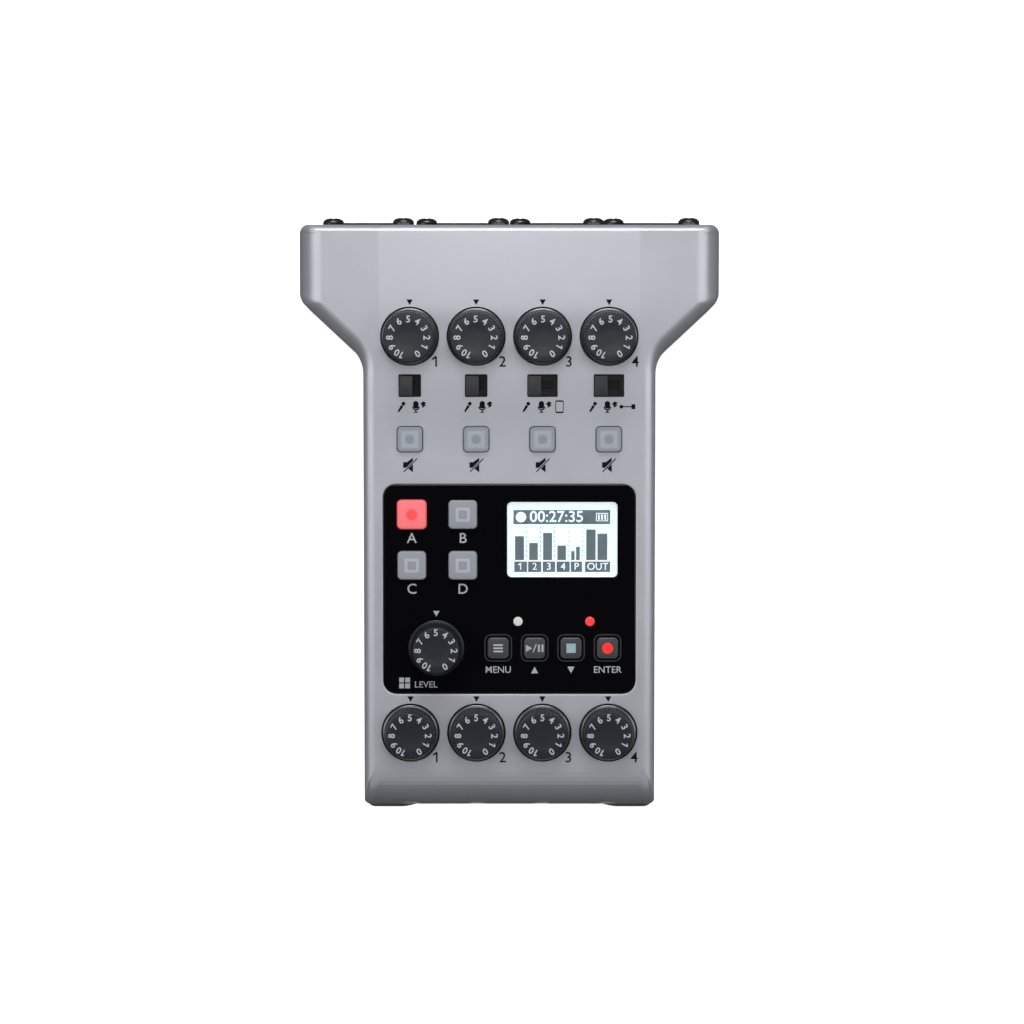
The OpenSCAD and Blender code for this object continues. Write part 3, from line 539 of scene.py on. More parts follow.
def group_socket(group, way, kind, name):
    return group.interface.new_socket(name=name, in_out=way, socket_type="NodeSocket" + kind)


def math_node(tree, operation, *values):
    """A math node whose inputs are sockets or plain numbers."""
    node = tree.nodes.new("ShaderNodeMath")
    node.operation = operation
    for holder, value in zip(node.inputs, values):
        if isinstance(value, bpy.types.NodeSocket):
            tree.links.new(value, holder)
        else:
            holder.default_value = value
    return node.outputs[0]


def moulded_grain():
    """Group that varies a colour and a roughness with a fine grain and gives the grain's height."""
    name = "Moulded grain"
    if name in bpy.data.node_groups:
        return bpy.data.node_groups[name]
    group = bpy.data.node_groups.new(name, "ShaderNodeTree")
    group_socket(group, "INPUT", "Color", "Colour")
    for title in ("Colour spread", "Roughness", "Roughness spread", "Grain"):
        group_socket(group, "INPUT", "Float", title)
    group_socket(group, "OUTPUT", "Color", "Colour")
    group_socket(group, "OUTPUT", "Float", "Roughness")
    group_socket(group, "OUTPUT", "Float", "Height")
    given = group.nodes.new("NodeGroupInput").outputs
    taken = group.nodes.new("NodeGroupOutput").inputs
    place = group.nodes.new("ShaderNodeTexCoord").outputs["Object"]

    def noise(scale, detail):
        node = group.nodes.new("ShaderNodeTexNoise")
        node.inputs["Detail"].default_value = detail
        group.links.new(place, node.inputs["Vector"])
        group.links.new(scale, node.inputs["Scale"])
        return node.outputs["Fac"]

    fine = noise(given["Grain"], 2)
    broad = noise(math_node(group, "MULTIPLY", given["Grain"], 0.015), 3)
    mixed = math_node(group, "SUBTRACT", math_node(group, "ADD", fine, broad), 1)
    tone = math_node(group, "MULTIPLY_ADD", mixed, given["Colour spread"], 1)
    scale = group.nodes.new("ShaderNodeVectorMath")
    scale.operation = "SCALE"
    group.links.new(given["Colour"], scale.inputs[0])
    group.links.new(tone, scale.inputs["Scale"])
    group.links.new(scale.outputs[0], taken["Colour"])
    group.links.new(math_node(group, "MULTIPLY_ADD", mixed, given["Roughness spread"], given["Roughness"]),
                    taken["Roughness"])
    group.links.new(fine, taken["Height"])
    return group


def lens_marks():
    """Group of masks on a square key, from its middle: a soft square, its border and a soft dot."""
    name = "Lens marks"
    if name in bpy.data.node_groups:
        return bpy.data.node_groups[name]
    group = bpy.data.node_groups.new(name, "ShaderNodeTree")
    for title in ("Square", "Border", "Dot", "Blur"):
        group_socket(group, "INPUT", "Float", title)
    for title in ("Square", "Border", "Dot"):
        group_socket(group, "OUTPUT", "Float", title)
    given = group.nodes.new("NodeGroupInput").outputs
    taken = group.nodes.new("NodeGroupOutput").inputs
    place = group.nodes.new("ShaderNodeTexCoord").outputs["Object"]
    split = group.nodes.new("ShaderNodeSeparateXYZ")
    group.links.new(place, split.inputs[0])
    across = math_node(group, "ABSOLUTE", split.outputs["X"])
    along = math_node(group, "ABSOLUTE", split.outputs["Y"])
    reach = math_node(group, "SMOOTH_MAX", across, along, 0.4 * MM)
    radius = math_node(group, "SQRT", math_node(group, "ADD", math_node(group, "MULTIPLY", across, across),
                                                math_node(group, "MULTIPLY", along, along)))

    def inside(distance, limit):
        depth = math_node(group, "DIVIDE", math_node(group, "SUBTRACT", limit, distance), given["Blur"])
        node = group.nodes.new("ShaderNodeMapRange")
        node.interpolation_type = "SMOOTHSTEP"
        node.inputs["From Min"].default_value = -0.5
        node.inputs["From Max"].default_value = 0.5
        group.links.new(depth, node.inputs["Value"])
        return node.outputs["Result"]

    square = inside(reach, given["Square"])
    hollow = inside(reach, math_node(group, "SUBTRACT", given["Square"], given["Border"]))
    group.links.new(square, taken["Square"])
    group.links.new(math_node(group, "SUBTRACT", square, hollow), taken["Border"])
    group.links.new(inside(radius, given["Dot"]), taken["Dot"])
    return group


# Materials


def rgba(colour):
    return (*colour[:3], 1)


def scaled(colour, share):
    return tuple(min(1, part * share) for part in colour[:3])


def new_shader(name):
    """A material with an empty principled shader."""
    material = bpy.data.materials.new(name)
    material.use_nodes = True
    return material, material.node_tree, material.node_tree.nodes["Principled BSDF"]


def place_group(tree, group, **values):
    node = tree.nodes.new("ShaderNodeGroup")
    node.node_tree = group
    for title, value in values.items():
        node.inputs[title.replace("_", " ")].default_value = value
    return node


def add_bump(tree, shader, height, depth, strength):
    bump = tree.nodes.new("ShaderNodeBump")
    bump.inputs["Strength"].default_value = strength
    bump.inputs["Distance"].default_value = depth * MM
    tree.links.new(height, bump.inputs["Height"])
    tree.links.new(bump.outputs["Normal"], shader.inputs["Normal"])


def moulded(name, colour, roughness, grain, depth, colour_spread=0.12, roughness_spread=0.15, strength=0.3,
            metallic=0, specular=0.5, coat=0):
    """A finish with a fine grain; grain is the number of grains in a metre and depth their height."""
    if name in bpy.data.materials:
        return bpy.data.materials[name]
    material, tree, shader = new_shader(name)
    group = place_group(tree, moulded_grain(), Colour=rgba(colour), Colour_spread=colour_spread,
                        Roughness=roughness, Roughness_spread=roughness_spread, Grain=grain)
    tree.links.new(group.outputs["Colour"], shader.inputs["Base Color"])
    tree.links.new(group.outputs["Roughness"], shader.inputs["Roughness"])
    shader.inputs["Metallic"].default_value = metallic
    shader.inputs["Specular IOR Level"].default_value = specular
    shader.inputs["Coat Weight"].default_value = coat
    add_bump(tree, shader, group.outputs["Height"], depth, strength)
    return material


def case_paint():
    return moulded("case paint", look("case").paint, 0.38, 7000, 0.02, colour_spread=0.1, metallic=0.45)


def dark_plastic():
    return moulded("dark plastic", look("case").dark, 0.55, 5000, 0.03)


def plate_gloss():
    return moulded("plate gloss", look("case").plate, 0.06, 900, 0.002, roughness_spread=0.04, strength=0.1,
                   specular=0.35)


def dark_print():
    return moulded("dark print", look("case").ink, 0.8, 9000, 0.01, specular=0.1)


def pale_print():
    return moulded("pale print", look("case").pale_ink, 0.5, 9000, 0.01)


def dial_plastic():
    return moulded("dial plastic", look("dials").colour, 0.4, 6000, 0.03, roughness_spread=0.2, specular=0.38)


def skirt_gloss():
    return moulded("skirt gloss", (0.12, 0.125, 0.135), 0.3, 6000, 0.01, metallic=0.6)


def dial_print():
    return moulded("dial print", look("dials").digits, 0.5, 9000, 0.01)


def black_plastic():
    return moulded("black plastic", (0.004, 0.0045, 0.0075), 0.45, 5000, 0.02, specular=0.35)


def transport_plastic():
    return moulded("transport plastic", look("keys").transport, 0.35, 6000, 0.02)


def slider_plastic():
    return moulded("slider plastic", (0.01, 0.0115, 0.0165), 0.42, 6000, 0.02)


def black_metal():
    return moulded("black metal", (0.06, 0.06, 0.063), 0.28, 4000, 0.01, metallic=0.8)


def bright_steel():
    return moulded("bright steel", (0.6, 0.61, 0.62), 0.3, 3000, 0.01, metallic=1)


def turned_metal():
    return moulded("turned metal", (0.55, 0.55, 0.56), 0.35, 3000, 0.01, metallic=1)


def plated_contact():
    return moulded("plated contact", (0.75, 0.57, 0.28), 0.25, 3000, 0.005, metallic=1)


def board_lacquer():
    return moulded("board lacquer", (0.015, 0.09, 0.04), 0.3, 2500, 0.02, colour_spread=0.4)


def cell_wrap():
    return moulded("cell wrap", (0.05, 0.16, 0.08), 0.3, 1500, 0.01, metallic=0.3)


def foot_rubber():
    return moulded("foot rubber", (0.016, 0.016, 0.017), 0.8, 4000, 0.05)


def mix_colours(tree, mask, first, second):
    """Second over first where the mask is white. Each is a colour or a socket."""
    mix = tree.nodes.new("ShaderNodeMix")
    mix.data_type = "RGBA"
    tree.links.new(mask, mix.inputs[0])
    for holder, value in ((mix.inputs[6], first), (mix.inputs[7], second)):
        if isinstance(value, bpy.types.NodeSocket):
            tree.links.new(value, holder)
        else:
            holder.default_value = rgba(value)
    return mix.outputs[2]


def frosted(name, colour, marks, shades, roughness=0.45, glow=0):
    """A frosted key. marks sizes its square, border, dot and blur, and shades colours the first three."""
    if name in bpy.data.materials:
        return bpy.data.materials[name]
    material, tree, shader = new_shader(name)
    grain = place_group(tree, moulded_grain(), Colour=rgba(colour), Colour_spread=0.06, Roughness=roughness,
                        Roughness_spread=0.1, Grain=5000)
    masks = place_group(tree, lens_marks(), Square=marks[0] * MM, Border=marks[1] * MM, Dot=marks[2] * MM,
                        Blur=marks[3] * MM)
    shade = grain.outputs["Colour"]
    for title, over in zip(("Square", "Border", "Dot"), shades):
        shade = mix_colours(tree, masks.outputs[title], shade, over)
    tree.links.new(shade, shader.inputs["Base Color"])
    tree.links.new(grain.outputs["Roughness"], shader.inputs["Roughness"])
    if glow:
        tree.links.new(shade, shader.inputs["Emission Color"])
        shader.inputs["Emission Strength"].default_value = glow
    add_bump(tree, shader, grain.outputs["Height"], 0.01, 0.2)
    return material


def shades(colour, *tones):
    return [scaled(colour, tone) for tone in tones]


def mute_frost():
    colour = look("keys").mute
    return frosted("mute frost", colour, (2.2, 0.9, 1.2, 0.9), shades(colour, 1.2, 1.35, 0.9))


def pad_frost():
    colour = look("keys").pad
    return frosted("pad frost", colour, (1.85, 0.7, 0.5, 0.45), shades(colour, 0.95, 1.5, 1.05))


def pad_glow():
    colour = look("keys").lit
    dot = (1.25 * colour[0], 0.4 * colour[1], 0.35 * colour[2])
    return frosted("pad glow", colour, (2.6, 0.5, 1.5, 0.5), [*shades(colour, 0.97, 1.05), dot], glow=0.7)


def lit(name, colour, strength, roughness=0.3):
    """A glowing surface whose light varies a little over it."""
    if name in bpy.data.materials:
        return bpy.data.materials[name]
    material, tree, shader = new_shader(name)
    grain = place_group(tree, moulded_grain(), Colour=rgba(colour), Colour_spread=0.04, Roughness=roughness,
                        Roughness_spread=0.1, Grain=1500)
    tree.links.new(grain.outputs["Colour"], shader.inputs["Base Color"])
    tree.links.new(grain.outputs["Colour"], shader.inputs["Emission Color"])
    tree.links.new(grain.outputs["Roughness"], shader.inputs["Roughness"])
    shader.inputs["Emission Strength"].default_value = strength
    return material


def display_backlight():
    return lit("display backlight", look("display").backlight, look("display").strength)


def display_segment():
    return lit("display segment", look("display").segment, 0.5)


def clear_window():
    name = "clear window"
    if name in bpy.data.materials:
        return bpy.data.materials[name]
    material, tree, shader = new_shader(name)
    grain = place_group(tree, moulded_grain(), Colour=(1, 1, 1, 1), Colour_spread=0.01, Roughness=0.02,
                        Roughness_spread=0.01, Grain=800)
    tree.links.new(grain.outputs["Colour"], shader.inputs["Base Color"])
    tree.links.new(grain.outputs["Roughness"], shader.inputs["Roughness"])
    shader.inputs["Transmission Weight"].default_value = 1
    shader.inputs["IOR"].default_value = 1.2
    return material


# Case


def inset_corner(i, inset):
    """The hollow neck corner widens with its inset, the front one up to the crease, and the others shrink."""
    if i == 2:
        return CORNER_R[i] + inset[i]
    if i == 3:
        room = NECK_W / 2 - inset[i] - CREASE_X - CREASE_GAP
        return max(min(CORNER_R[i] + inset[i], room), LEAST_CORNER)
    return max(CORNER_R[i] - min(inset[i], inset[i + 1]), LEAST_CORNER)


def rear_line(inset):
    """Where the rear edge lies; the last two insets move the leaning rear wall and its corners out."""
    return REAR_Y - inset[0] + inset[5]


def left_outline(inset):
    """Left half of the case's plan from the rear to the front, each side drawn in by its inset."""
    slant = math.tan(SHOULDER_ANGLE)
    head_x = -HEAD_W / 2 + inset[1]
    neck_x = -NECK_W / 2 + inset[3]
    line_y = SHOULDER_Y + inset[2] / math.cos(SHOULDER_ANGLE) - HEAD_W / 2 * slant
    tips = [Vector((head_x, rear_line(inset) + inset[6])), Vector((head_x, line_y - head_x * slant)),
            Vector((neck_x, line_y - neck_x * slant)), Vector((neck_x, FACE_Y + inset[4]))]
    line = [Vector((0, tips[0].y)), *tips, Vector((0, tips[3].y))]
    steps = look("case").arc_steps
    arcs = [corner_arc(line[i], line[i + 1], line[i + 2], inset_corner(i, inset), steps) for i in range(4)]
    return [p for arc in arcs for p in arc]


def case_outline(inset, skin):
    """The whole plan, with a point where each crease ends."""
    left = left_outline(inset)
    right = [Vector((-p.x, p.y)) for p in reversed(left)]
    crease = CREASE_X - skin
    front = FACE_Y + inset[4]
    rear = rear_line(inset)
    return [Vector((-crease, rear)), *left, Vector((-crease, front)), Vector((crease, front)), *right,
            Vector((crease, rear))]


def outline_falls():
    """How far the rounding falls at each point of the plan."""
    steps = look("case").arc_steps
    left = [EDGE_FALL[i] + (EDGE_FALL[i + 1] - EDGE_FALL[i]) * k / steps
            for i in range(4) for k in range(steps + 1)]
    return [EDGE_FALL[0], *left, EDGE_FALL[4], EDGE_FALL[4], *reversed(left), EDGE_FALL[0]]


def panel_z(y):
    return PANEL_START.z - (REAR_Y - y) * math.tan(TILT)


def wing_fall(x, skin):
    return max(0, abs(x) - CREASE_X + skin) * math.tan(WING_SLOPE)


def case_ring(share, skin, sink):
    """One ring of the case's skin; share runs from 0 at the walls to 1 on the panel."""
    angle = math.pi / 2 * share
    drop = sink + EDGE_FALL[0] * (1 - math.sin(angle))
    insets = [skin + reach * (1 - math.cos(angle)) for reach in EDGE_REACH]
    wing = wing_fall(HEAD_W / 2 - insets[1], skin)
    lean = (drop * math.cos(TILT) + insets[0] * math.sin(TILT)) * math.sin(TILT)
    plan = case_outline([*insets, lean, wing * math.cos(TILT) * math.sin(TILT)], skin)
    return [Vector((p.x, p.y, panel_z(p.y) - wing_fall(p.x, skin) - sink - fall * (1 - math.sin(angle))))
            for p, fall in zip(plan, outline_falls())]


def case_solid(skin, sink, base_z):
    """Solid under the case's skin, down to base_z, with a flat strip and two wings on top."""
    bm = bmesh.new()
    steps = look("case").round_steps
    lean = (PANEL_START.z - base_z) * math.tan(TILT)
    base = [p.to_3d() + Vector((0, 0, base_z)) for p in case_outline([*[skin] * 5, lean, 0], skin)]
    rows = add_loft(bm, [base, *(case_ring(k / steps, skin, sink) for k in range(steps + 1))])
    top = rows[-1]
    middle = len(top) // 2
    bm.faces.ensure_lookup_table()
    bmesh.ops.delete(bm, geom=[bm.faces[-1]], context="FACES_ONLY")
    bm.faces.new(top[:middle])
    bm.faces.new(top[middle:])
    bm.faces.new((top[0], top[middle - 1], top[middle], top[-1]))
    return bm


def key_places(xs, ts):
    return [on_panel(x, t) for x, t in zip(xs, ts)]


MUTE_PLACES = key_places(DIAL_X, [MUTE_T] * 4)
PAD_PLACES = key_places(PAD_X, PAD_T)
TRANSPORT_PLACES = key_places(TRANSPORT_X, [TRANSPORT_T] * 4)


def add_key_holes(bm, places, w, low):
    hole = w + 2 * SLIDE_GAP
    for place in places:
        add_block(bm, hole, hole, KEY_CORNER + SLIDE_GAP, low, CUT_PAST, place)


def add_plate_holes(bm, low):
    """Openings for what stands in the control plate."""
    add_key_holes(bm, PAD_PLACES, PAD_W, low)
    add_key_holes(bm, TRANSPORT_PLACES, TRANSPORT_W, low)
    for x in LENS_X:
        add_rod(bm, LENS_R + LENS_GAP, low, CUT_PAST, on_panel(x, LENS_T), 32)
    add_rod(bm, KNOB_R + KNOB_GAP, low, CUT_PAST, on_panel(PAD_DIAL_X, TRANSPORT_T), 96)


def panel_cutter():
    bm = bmesh.new()
    low = -PANEL_T - CUT_PAST
    add_plate_holes(bm, low)
    for x in DIAL_X:
        for t in (GAIN_T, PHONES_T):
            add_rod(bm, KNOB_R + KNOB_GAP, low, CUT_PAST, on_panel(x, t), 96)
    add_key_holes(bm, MUTE_PLACES, MUTE_W, low)
    for x, w in zip(DIAL_X, SLOT_W):
        add_block(bm, w, SLOT_D, SLOT_CORNER, low, CUT_PAST, on_panel(x, SLIDER_T))
    add_block(bm, WINDOW_W + 2 * WINDOW_LEDGE, WINDOW_D + 2 * WINDOW_LEDGE, WINDOW_CORNER, low, CUT_PAST,
              on_panel(WINDOW_X, WINDOW_T))
    return bm


def recess_cutter():
    bm = bmesh.new()
    groove_w, groove_h = PLATE_GROOVE
    outer = PLATE_GAP + groove_w
    steps = ((PLATE_GAP, -PLATE_T), (PLATE_GAP, -groove_h), (outer, 0), (outer, CUT_PAST))
    rings = [round_ring(PLATE_W + 2 * wide, PLATE_D + 2 * wide, PLATE_CORNER + wide, z) for wide, z in steps]
    add_loft(bm, rings, on_panel(0, PLATE_MID))
    cover_middle = Matrix.Translation((0, (COVER_H - COVER_T / 2) / 2 - COVER_LOW, 0))
    add_block(bm, COVER_W + 2 * COVER_GAP, COVER_H + COVER_T / 2 + 2 * COVER_GAP, COVER_CORNER,
              -COVER_T - COVER_GAP, CUT_PAST, on_side(-1, CARD_T, CARD_DROP) @ cover_middle)
    add_block(bm, POWER_CAP[0] + POWER_TRAVEL + 2 * SLIDE_GAP, POWER_CAP[1] + 2 * SLIDE_GAP, POWER_CORNER,
              -POWER_CAP[2] - SLIDE_GAP / 2, CUT_PAST, on_side(1, POWER_T, POWER_DROP))
    return bm


def wall_cutter():
    bm = bmesh.new()
    deep = -WALL_T - CUT_PAST
    for x in XLR_X:
        add_rod(bm, XLR_HOLE_R, deep, CUT_PAST, on_rear(x), 96)
    for t in USB_T:
        add_block(bm, *USB_MOUTH, deep, CUT_PAST, on_side(1, t, USB_DROP))
    add_rod(bm, JACK_NOSE_R + JACK_GAP, deep, CUT_PAST, on_side(1, PHONE_JACK_T, JACK_DROP))
    add_block(bm, POWER_STEM[0] + POWER_TRAVEL + 2 * SLIDE_GAP, POWER_STEM[1] + 2 * SLIDE_GAP, STEM_CORNER,
              deep, CUT_PAST, on_side(1, POWER_T, POWER_DROP))
    add_block(bm, *CARD_MOUTH, deep, 0, on_side(-1, CARD_T, CARD_DROP))
    for x in DIAL_X:
        add_rod(bm, JACK_NOSE_R + JACK_GAP, -JACK_CUT, JACK_CUT, jack_place(x))
    return bm


def jack_place(x):
    """Frame at the mouth of a front jack."""
    t = (REAR_Y - FACE_Y - JACK_RECESS + JACK_DROP * math.sin(TILT)) / math.cos(TILT)
    return on_panel(x, t, -JACK_DROP) @ Matrix.Rotation(math.pi / 2, 4, "X")


class RECORDER_OT_top_case(bpy.types.Operator):
    """Top case: a rounded shell with its openings"""
    bl_idname = "recorder.top_case"
    bl_label = "Top case"

    def execute(self, context):
        shell = carve(case_solid(0, 0, SPLIT_Z), case_solid(WALL_T, PANEL_T, SPLIT_Z - CUT_PAST))
        for cutter in (recess_cutter(), panel_cutter(), wall_cutter()):
            shell = carve(shell, cutter)
        piece = make_piece("top_shell", shell, case_paint(), stands_for=["top_case"])
        even_normals(sharpen_crease(piece))
        return {"FINISHED"}


def foot_profile(radius, height):
    """Rings of a foot with a rounded lower rim."""
    rim = 0.5
    arc = [math.pi / 2 * k / EDGE_STEPS for k in range(EDGE_STEPS + 1)]
    return [*((radius - rim * (1 - math.sin(a)), rim * (1 - math.cos(a))) for a in arc), (radius, height)]


class RECORDER_OT_bottom_case(bpy.types.Operator):
    """Bottom case, battery door, feet and case screws"""
    bl_idname = "recorder.bottom_case"
    bl_label = "Bottom case"

    def execute(self, context):
        dress_node("bottom_case", dark_plastic())
        dress_node("case_screws", black_metal())
        self.feet()
        self.door()
        return {"FINISHED"}

    def feet(self):
        low, high = (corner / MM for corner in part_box("rubber_feet"))
        radius = 5
        front_inset = 3.5
        rear = (high.x - radius, high.y - radius)
        front = (NECK_W / 2 - radius - front_inset, low.y + radius)
        bm = bmesh.new()
        for x, y in (rear, front):
            for side in (-1, 1):
                rings = [circle_ring(r, z) for r, z in foot_profile(radius, high.z)]
                add_loft(bm, rings, Matrix.Translation((side * x, y, 0)))
        make_piece("feet", bm, foot_rubber(), stands_for=["rubber_feet"])

    def door(self):
        low, high = (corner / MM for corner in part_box("battery_door"))
        middle = (low + high) / 2
        over = axes_matrix((1, 0, 0), (0, -1, 0), (0, 0, -1), (middle.x, middle.y, high.z))
        thick = high.z - low.z
        bm = bmesh.new()
        add_block(bm, high.x - low.x, high.y - low.y, 0.8, 0, thick, over, edge=0.3)
        for k in range(6):
            rib = over @ Matrix.Translation((0, 8 + 1.6 * k, 0))
            add_block(bm, 16, 0.8, 0.35, thick - 0.1, thick + 0.3, rib, edge=0.3)
        add_slab(bm, [(-3, 2), (3, 2), (0, 6)], over, thick - 0.1, thick + 0.2)
        make_piece("battery_lid", bm, dark_plastic(), "battery_door", ["battery_door"])


# Control plate and display


class RECORDER_OT_control_plate(bpy.types.Operator):
    """Glossy control plate with its openings, and lighter frames round the transport keys that are a painted
    highlight where the holes' bevels catch light
    """
    bl_idname = "recorder.control_plate"
    bl_label = "Control plate"

    def execute(self, context):
        plate = bmesh.new()
        add_block(plate, PLATE_W, PLATE_D, PLATE_CORNER, -PLATE_T, 0, on_panel(0, PLATE_MID), edge=0.25)
        holes = bmesh.new()
        add_plate_holes(holes, -PLATE_T - CUT_PAST)
        add_block(holes, WINDOW_W, WINDOW_D, WINDOW_CORNER, -PLATE_T - CUT_PAST, CUT_PAST,
                  on_panel(WINDOW_X, WINDOW_T))
        even_normals(make_piece("plate", carve(plate, holes), plate_gloss(),
                                stands_for=["control_plate"]))
        # Lighter frames round the transport keys: a painted highlight standing in for the light caught by the
        # bevels of their holes
        highlight_rims = bmesh.new()
        outer = round_rectangle(*KEY_HIGHLIGHT_RIM_OUTER)
        inner = round_rectangle(*KEY_HIGHLIGHT_RIM_INNER)
        for place in TRANSPORT_PLACES:
            add_frame(highlight_rims, outer, inner, place, 0, KEY_HIGHLIGHT_RIM_H)
        make_piece("key_highlight_rims", highlight_rims, slider_plastic())
        return {"FINISHED"}


class RECORDER_OT_display(bpy.types.Operator):
    """Lit display under its clear window, and the two indicator lamps"""
    bl_idname = "recorder.display"
    bl_label = "Display"

    HEADER = (1.7, 2.2, 27.5, 6.0)
    DIVIDERS = (5.1, 8.9, 12.7, 16.5, 20.2)
    BARS = ((2.1, 4.5, 6.4), (5.9, 8.2, 4.6), (9.6, 12.0, 7.3), (13.4, 15.7, 3.9), (17.1, 18.0, 2.4),
            (18.4, 19.4, 3.6), (21.1, 23.6, 8.2), (24.1, 26.7, 7.1))
    BOXES = ((1.9, 5.3, "1"), (5.6, 9.1, "2"), (9.5, 12.8, "3"), (13.2, 16.7, "4"), (17.0, 20.0, "P"),
             (20.8, 27.5, "OUT"))
    BAR_FOOT = 15.6
    BOX_TOP = 16
    BOX_FOOT = 18.8
    HEADER_Y = -(HEADER[1] + HEADER[3]) / 2
    FACE_LIFT = -PLATE_T - 0.09
    FACE_T = 0.04
    MARK_LIFT = -PLATE_T - 0.045
    MARK_T = 0.015
    FIGURE_LIFT = MARK_LIFT + 0.016
    FIGURE_T = 0.01

    def execute(self, context):
        window = on_panel(WINDOW_X, WINDOW_T)
        face = bmesh.new()
        add_block(face, WINDOW_W + WINDOW_LEDGE, WINDOW_D + WINDOW_LEDGE, WINDOW_CORNER, self.FACE_LIFT,
                  self.FACE_LIFT + self.FACE_T, window)
        make_piece("display_face", face, display_backlight())
        self.origin = on_panel(WINDOW_X - WINDOW_W / 2, WINDOW_T - WINDOW_D / 2)
        self.dark_marks()
        self.pale_marks()
        dress_node("display_window", clear_window())
        dress_node("display_module", black_plastic())
        for node, x, colour, strength in (("white_lamp", LENS_X[0], (0.43, 0.43, 0.425), 0.5),
                                          ("red_lamp", LENS_X[1], (0.95, 0.03, 0.03), 0.7)):
            self.lamp(node, x, lit(node.replace("_", " "), colour, strength))
        return {"FINISHED"}

    def cell(self, bm, left, top, right, foot, lift):
        outline = rectangle(right - left, foot - top, (left + right) / 2, -(top + foot) / 2)
        add_slab(bm, outline, self.origin, lift, lift + self.MARK_T)

    def dark_marks(self):
        bm = bmesh.new()
        self.cell(bm, *self.HEADER, self.MARK_LIFT)
        for left, right, rise in self.BARS:
            self.cell(bm, left, self.BAR_FOOT - rise, right, self.BAR_FOOT, self.MARK_LIFT)
        for left, right, _ in self.BOXES:
            self.cell(bm, left, self.BOX_TOP, right, self.BOX_FOOT, self.MARK_LIFT)
        for x in self.DIVIDERS:
            for k in range(7):
                top = 6.6 + 1.25 * k
                self.cell(bm, x - 0.1, top, x + 0.1, top + 0.6, self.MARK_LIFT)
        make_piece("display_marks", bm, display_segment())

    def pale_marks(self):
        bm = bmesh.new()
        lift = self.FIGURE_LIFT
        top = lift + self.FIGURE_T
        add_slab(bm, disc(1.4, 3.7, self.HEADER_Y), self.origin, lift, top)
        shown = self.origin @ Matrix.Translation((0, 0, lift - PRINT_T / 2))
        add_words(bm, "00:27:35", 2.9, shown @ Matrix.Translation((13.2, self.HEADER_Y, 0)), bold=0.02)
        battery = (25.3, self.HEADER_Y)
        add_frame(bm, rectangle(3.2, 2.2, *battery), rectangle(2.8, 1.8, *battery), self.origin, lift, top)
        for k in (-1, 0, 1):
            add_slab(bm, rectangle(0.5, 1.4, battery[0] + 0.85 * k, battery[1]), self.origin, lift, top)
        for left, right, words in self.BOXES:
            middle = ((left + right) / 2, -(self.BOX_TOP + self.BOX_FOOT) / 2, 0)
            add_words(bm, words, 1.85, shown @ Matrix.Translation(middle))
        make_piece("display_figures", bm, display_backlight())

    def lamp(self, name, x, material):
        rings = [circle_ring(LENS_R, -PLATE_T - 4, 40), circle_ring(LENS_R, 0, 40)]
        for k in range(1, 5):
            a = math.pi / 2 * k / 5
            rings.append(circle_ring(LENS_R * math.cos(a), 0.15 * math.sin(a), 40))
        bm = bmesh.new()
        add_loft(bm, rings, on_panel(x, LENS_T))
        make_piece(name, bm, material, stands_for=["indicator_lenses"])


# Dials


def skirt_solid():
    """The plain skirt of a dial, which stands in the dial's hole, with a sloping rim."""
    bm = bmesh.new()
    add_loft(bm, [circle_ring(r, z, 128) for r, z in (
        (KNOB_R, -KNOB_SINK), (KNOB_R, SKIRT_H - SKIRT_EDGE), (KNOB_R - 0.06, SKIRT_H - SKIRT_EDGE + 0.06),
        (KNOB_R - SKIRT_STEP, SKIRT_H))])
    return bm


def dial_solid(rise, top_r):
    """The ribbed body of a dial, with a rounded top and a shallow dish."""
    settings = look("dials")
    steps = settings.ribs * 6
    depth = settings.rib_depth / MM
    rim = 0.55
    dish = (3.6, 0.1)

    def ring(r, z, groove=0):
        points = []
        for i in range(steps):
            a = math.tau * i / steps
            cut = groove * (0.5 - 0.5 * math.cos(settings.ribs * a)) ** 2
            points.append(Vector(((r - cut) * math.cos(a), (r - cut) * math.sin(a), z)))
        return points

    foot_r = KNOB_R - SKIRT_STEP
    rings = [ring(foot_r - depth, SKIRT_H), ring(foot_r, SKIRT_H + 0.02), ring(foot_r, SKIRT_H + 0.1, depth)]
    for share in (0.33, 0.67, 1):
        z = SKIRT_H + 0.1 + (rise - rim - SKIRT_H - 0.1) * share
        rings.append(ring(foot_r + (top_r - foot_r) * share, z, depth))
    for k in range(1, EDGE_STEPS + 2):
        a = math.pi / 2 * k / (EDGE_STEPS + 1)
        groove = depth * math.cos(a)
        rings.append(ring(top_r - rim * (1 - math.cos(a)), rise - rim * (1 - math.sin(a)), groove))
    rings += [ring(dish[0], rise), ring(dish[0] - 0.4, rise - dish[1]), ring(1, rise - dish[1])]
    bm = bmesh.new()
    add_loft(bm, rings)
    return bm


def digit_solid(rise):
    """Numbers round a dial's top, five at the mark, falling clockwise."""
    settings = look("dials")
    bm = bmesh.new()
    for number in DIGITS:
        turn = Matrix.Rotation((number - 5) * DIGIT_STEP, 4, "Z")
        place = turn @ Matrix.Translation((0, settings.digit_ring / MM, rise))
        add_words(bm, str(number), settings.digit_height / MM, place, bold=0.025)
    return bm


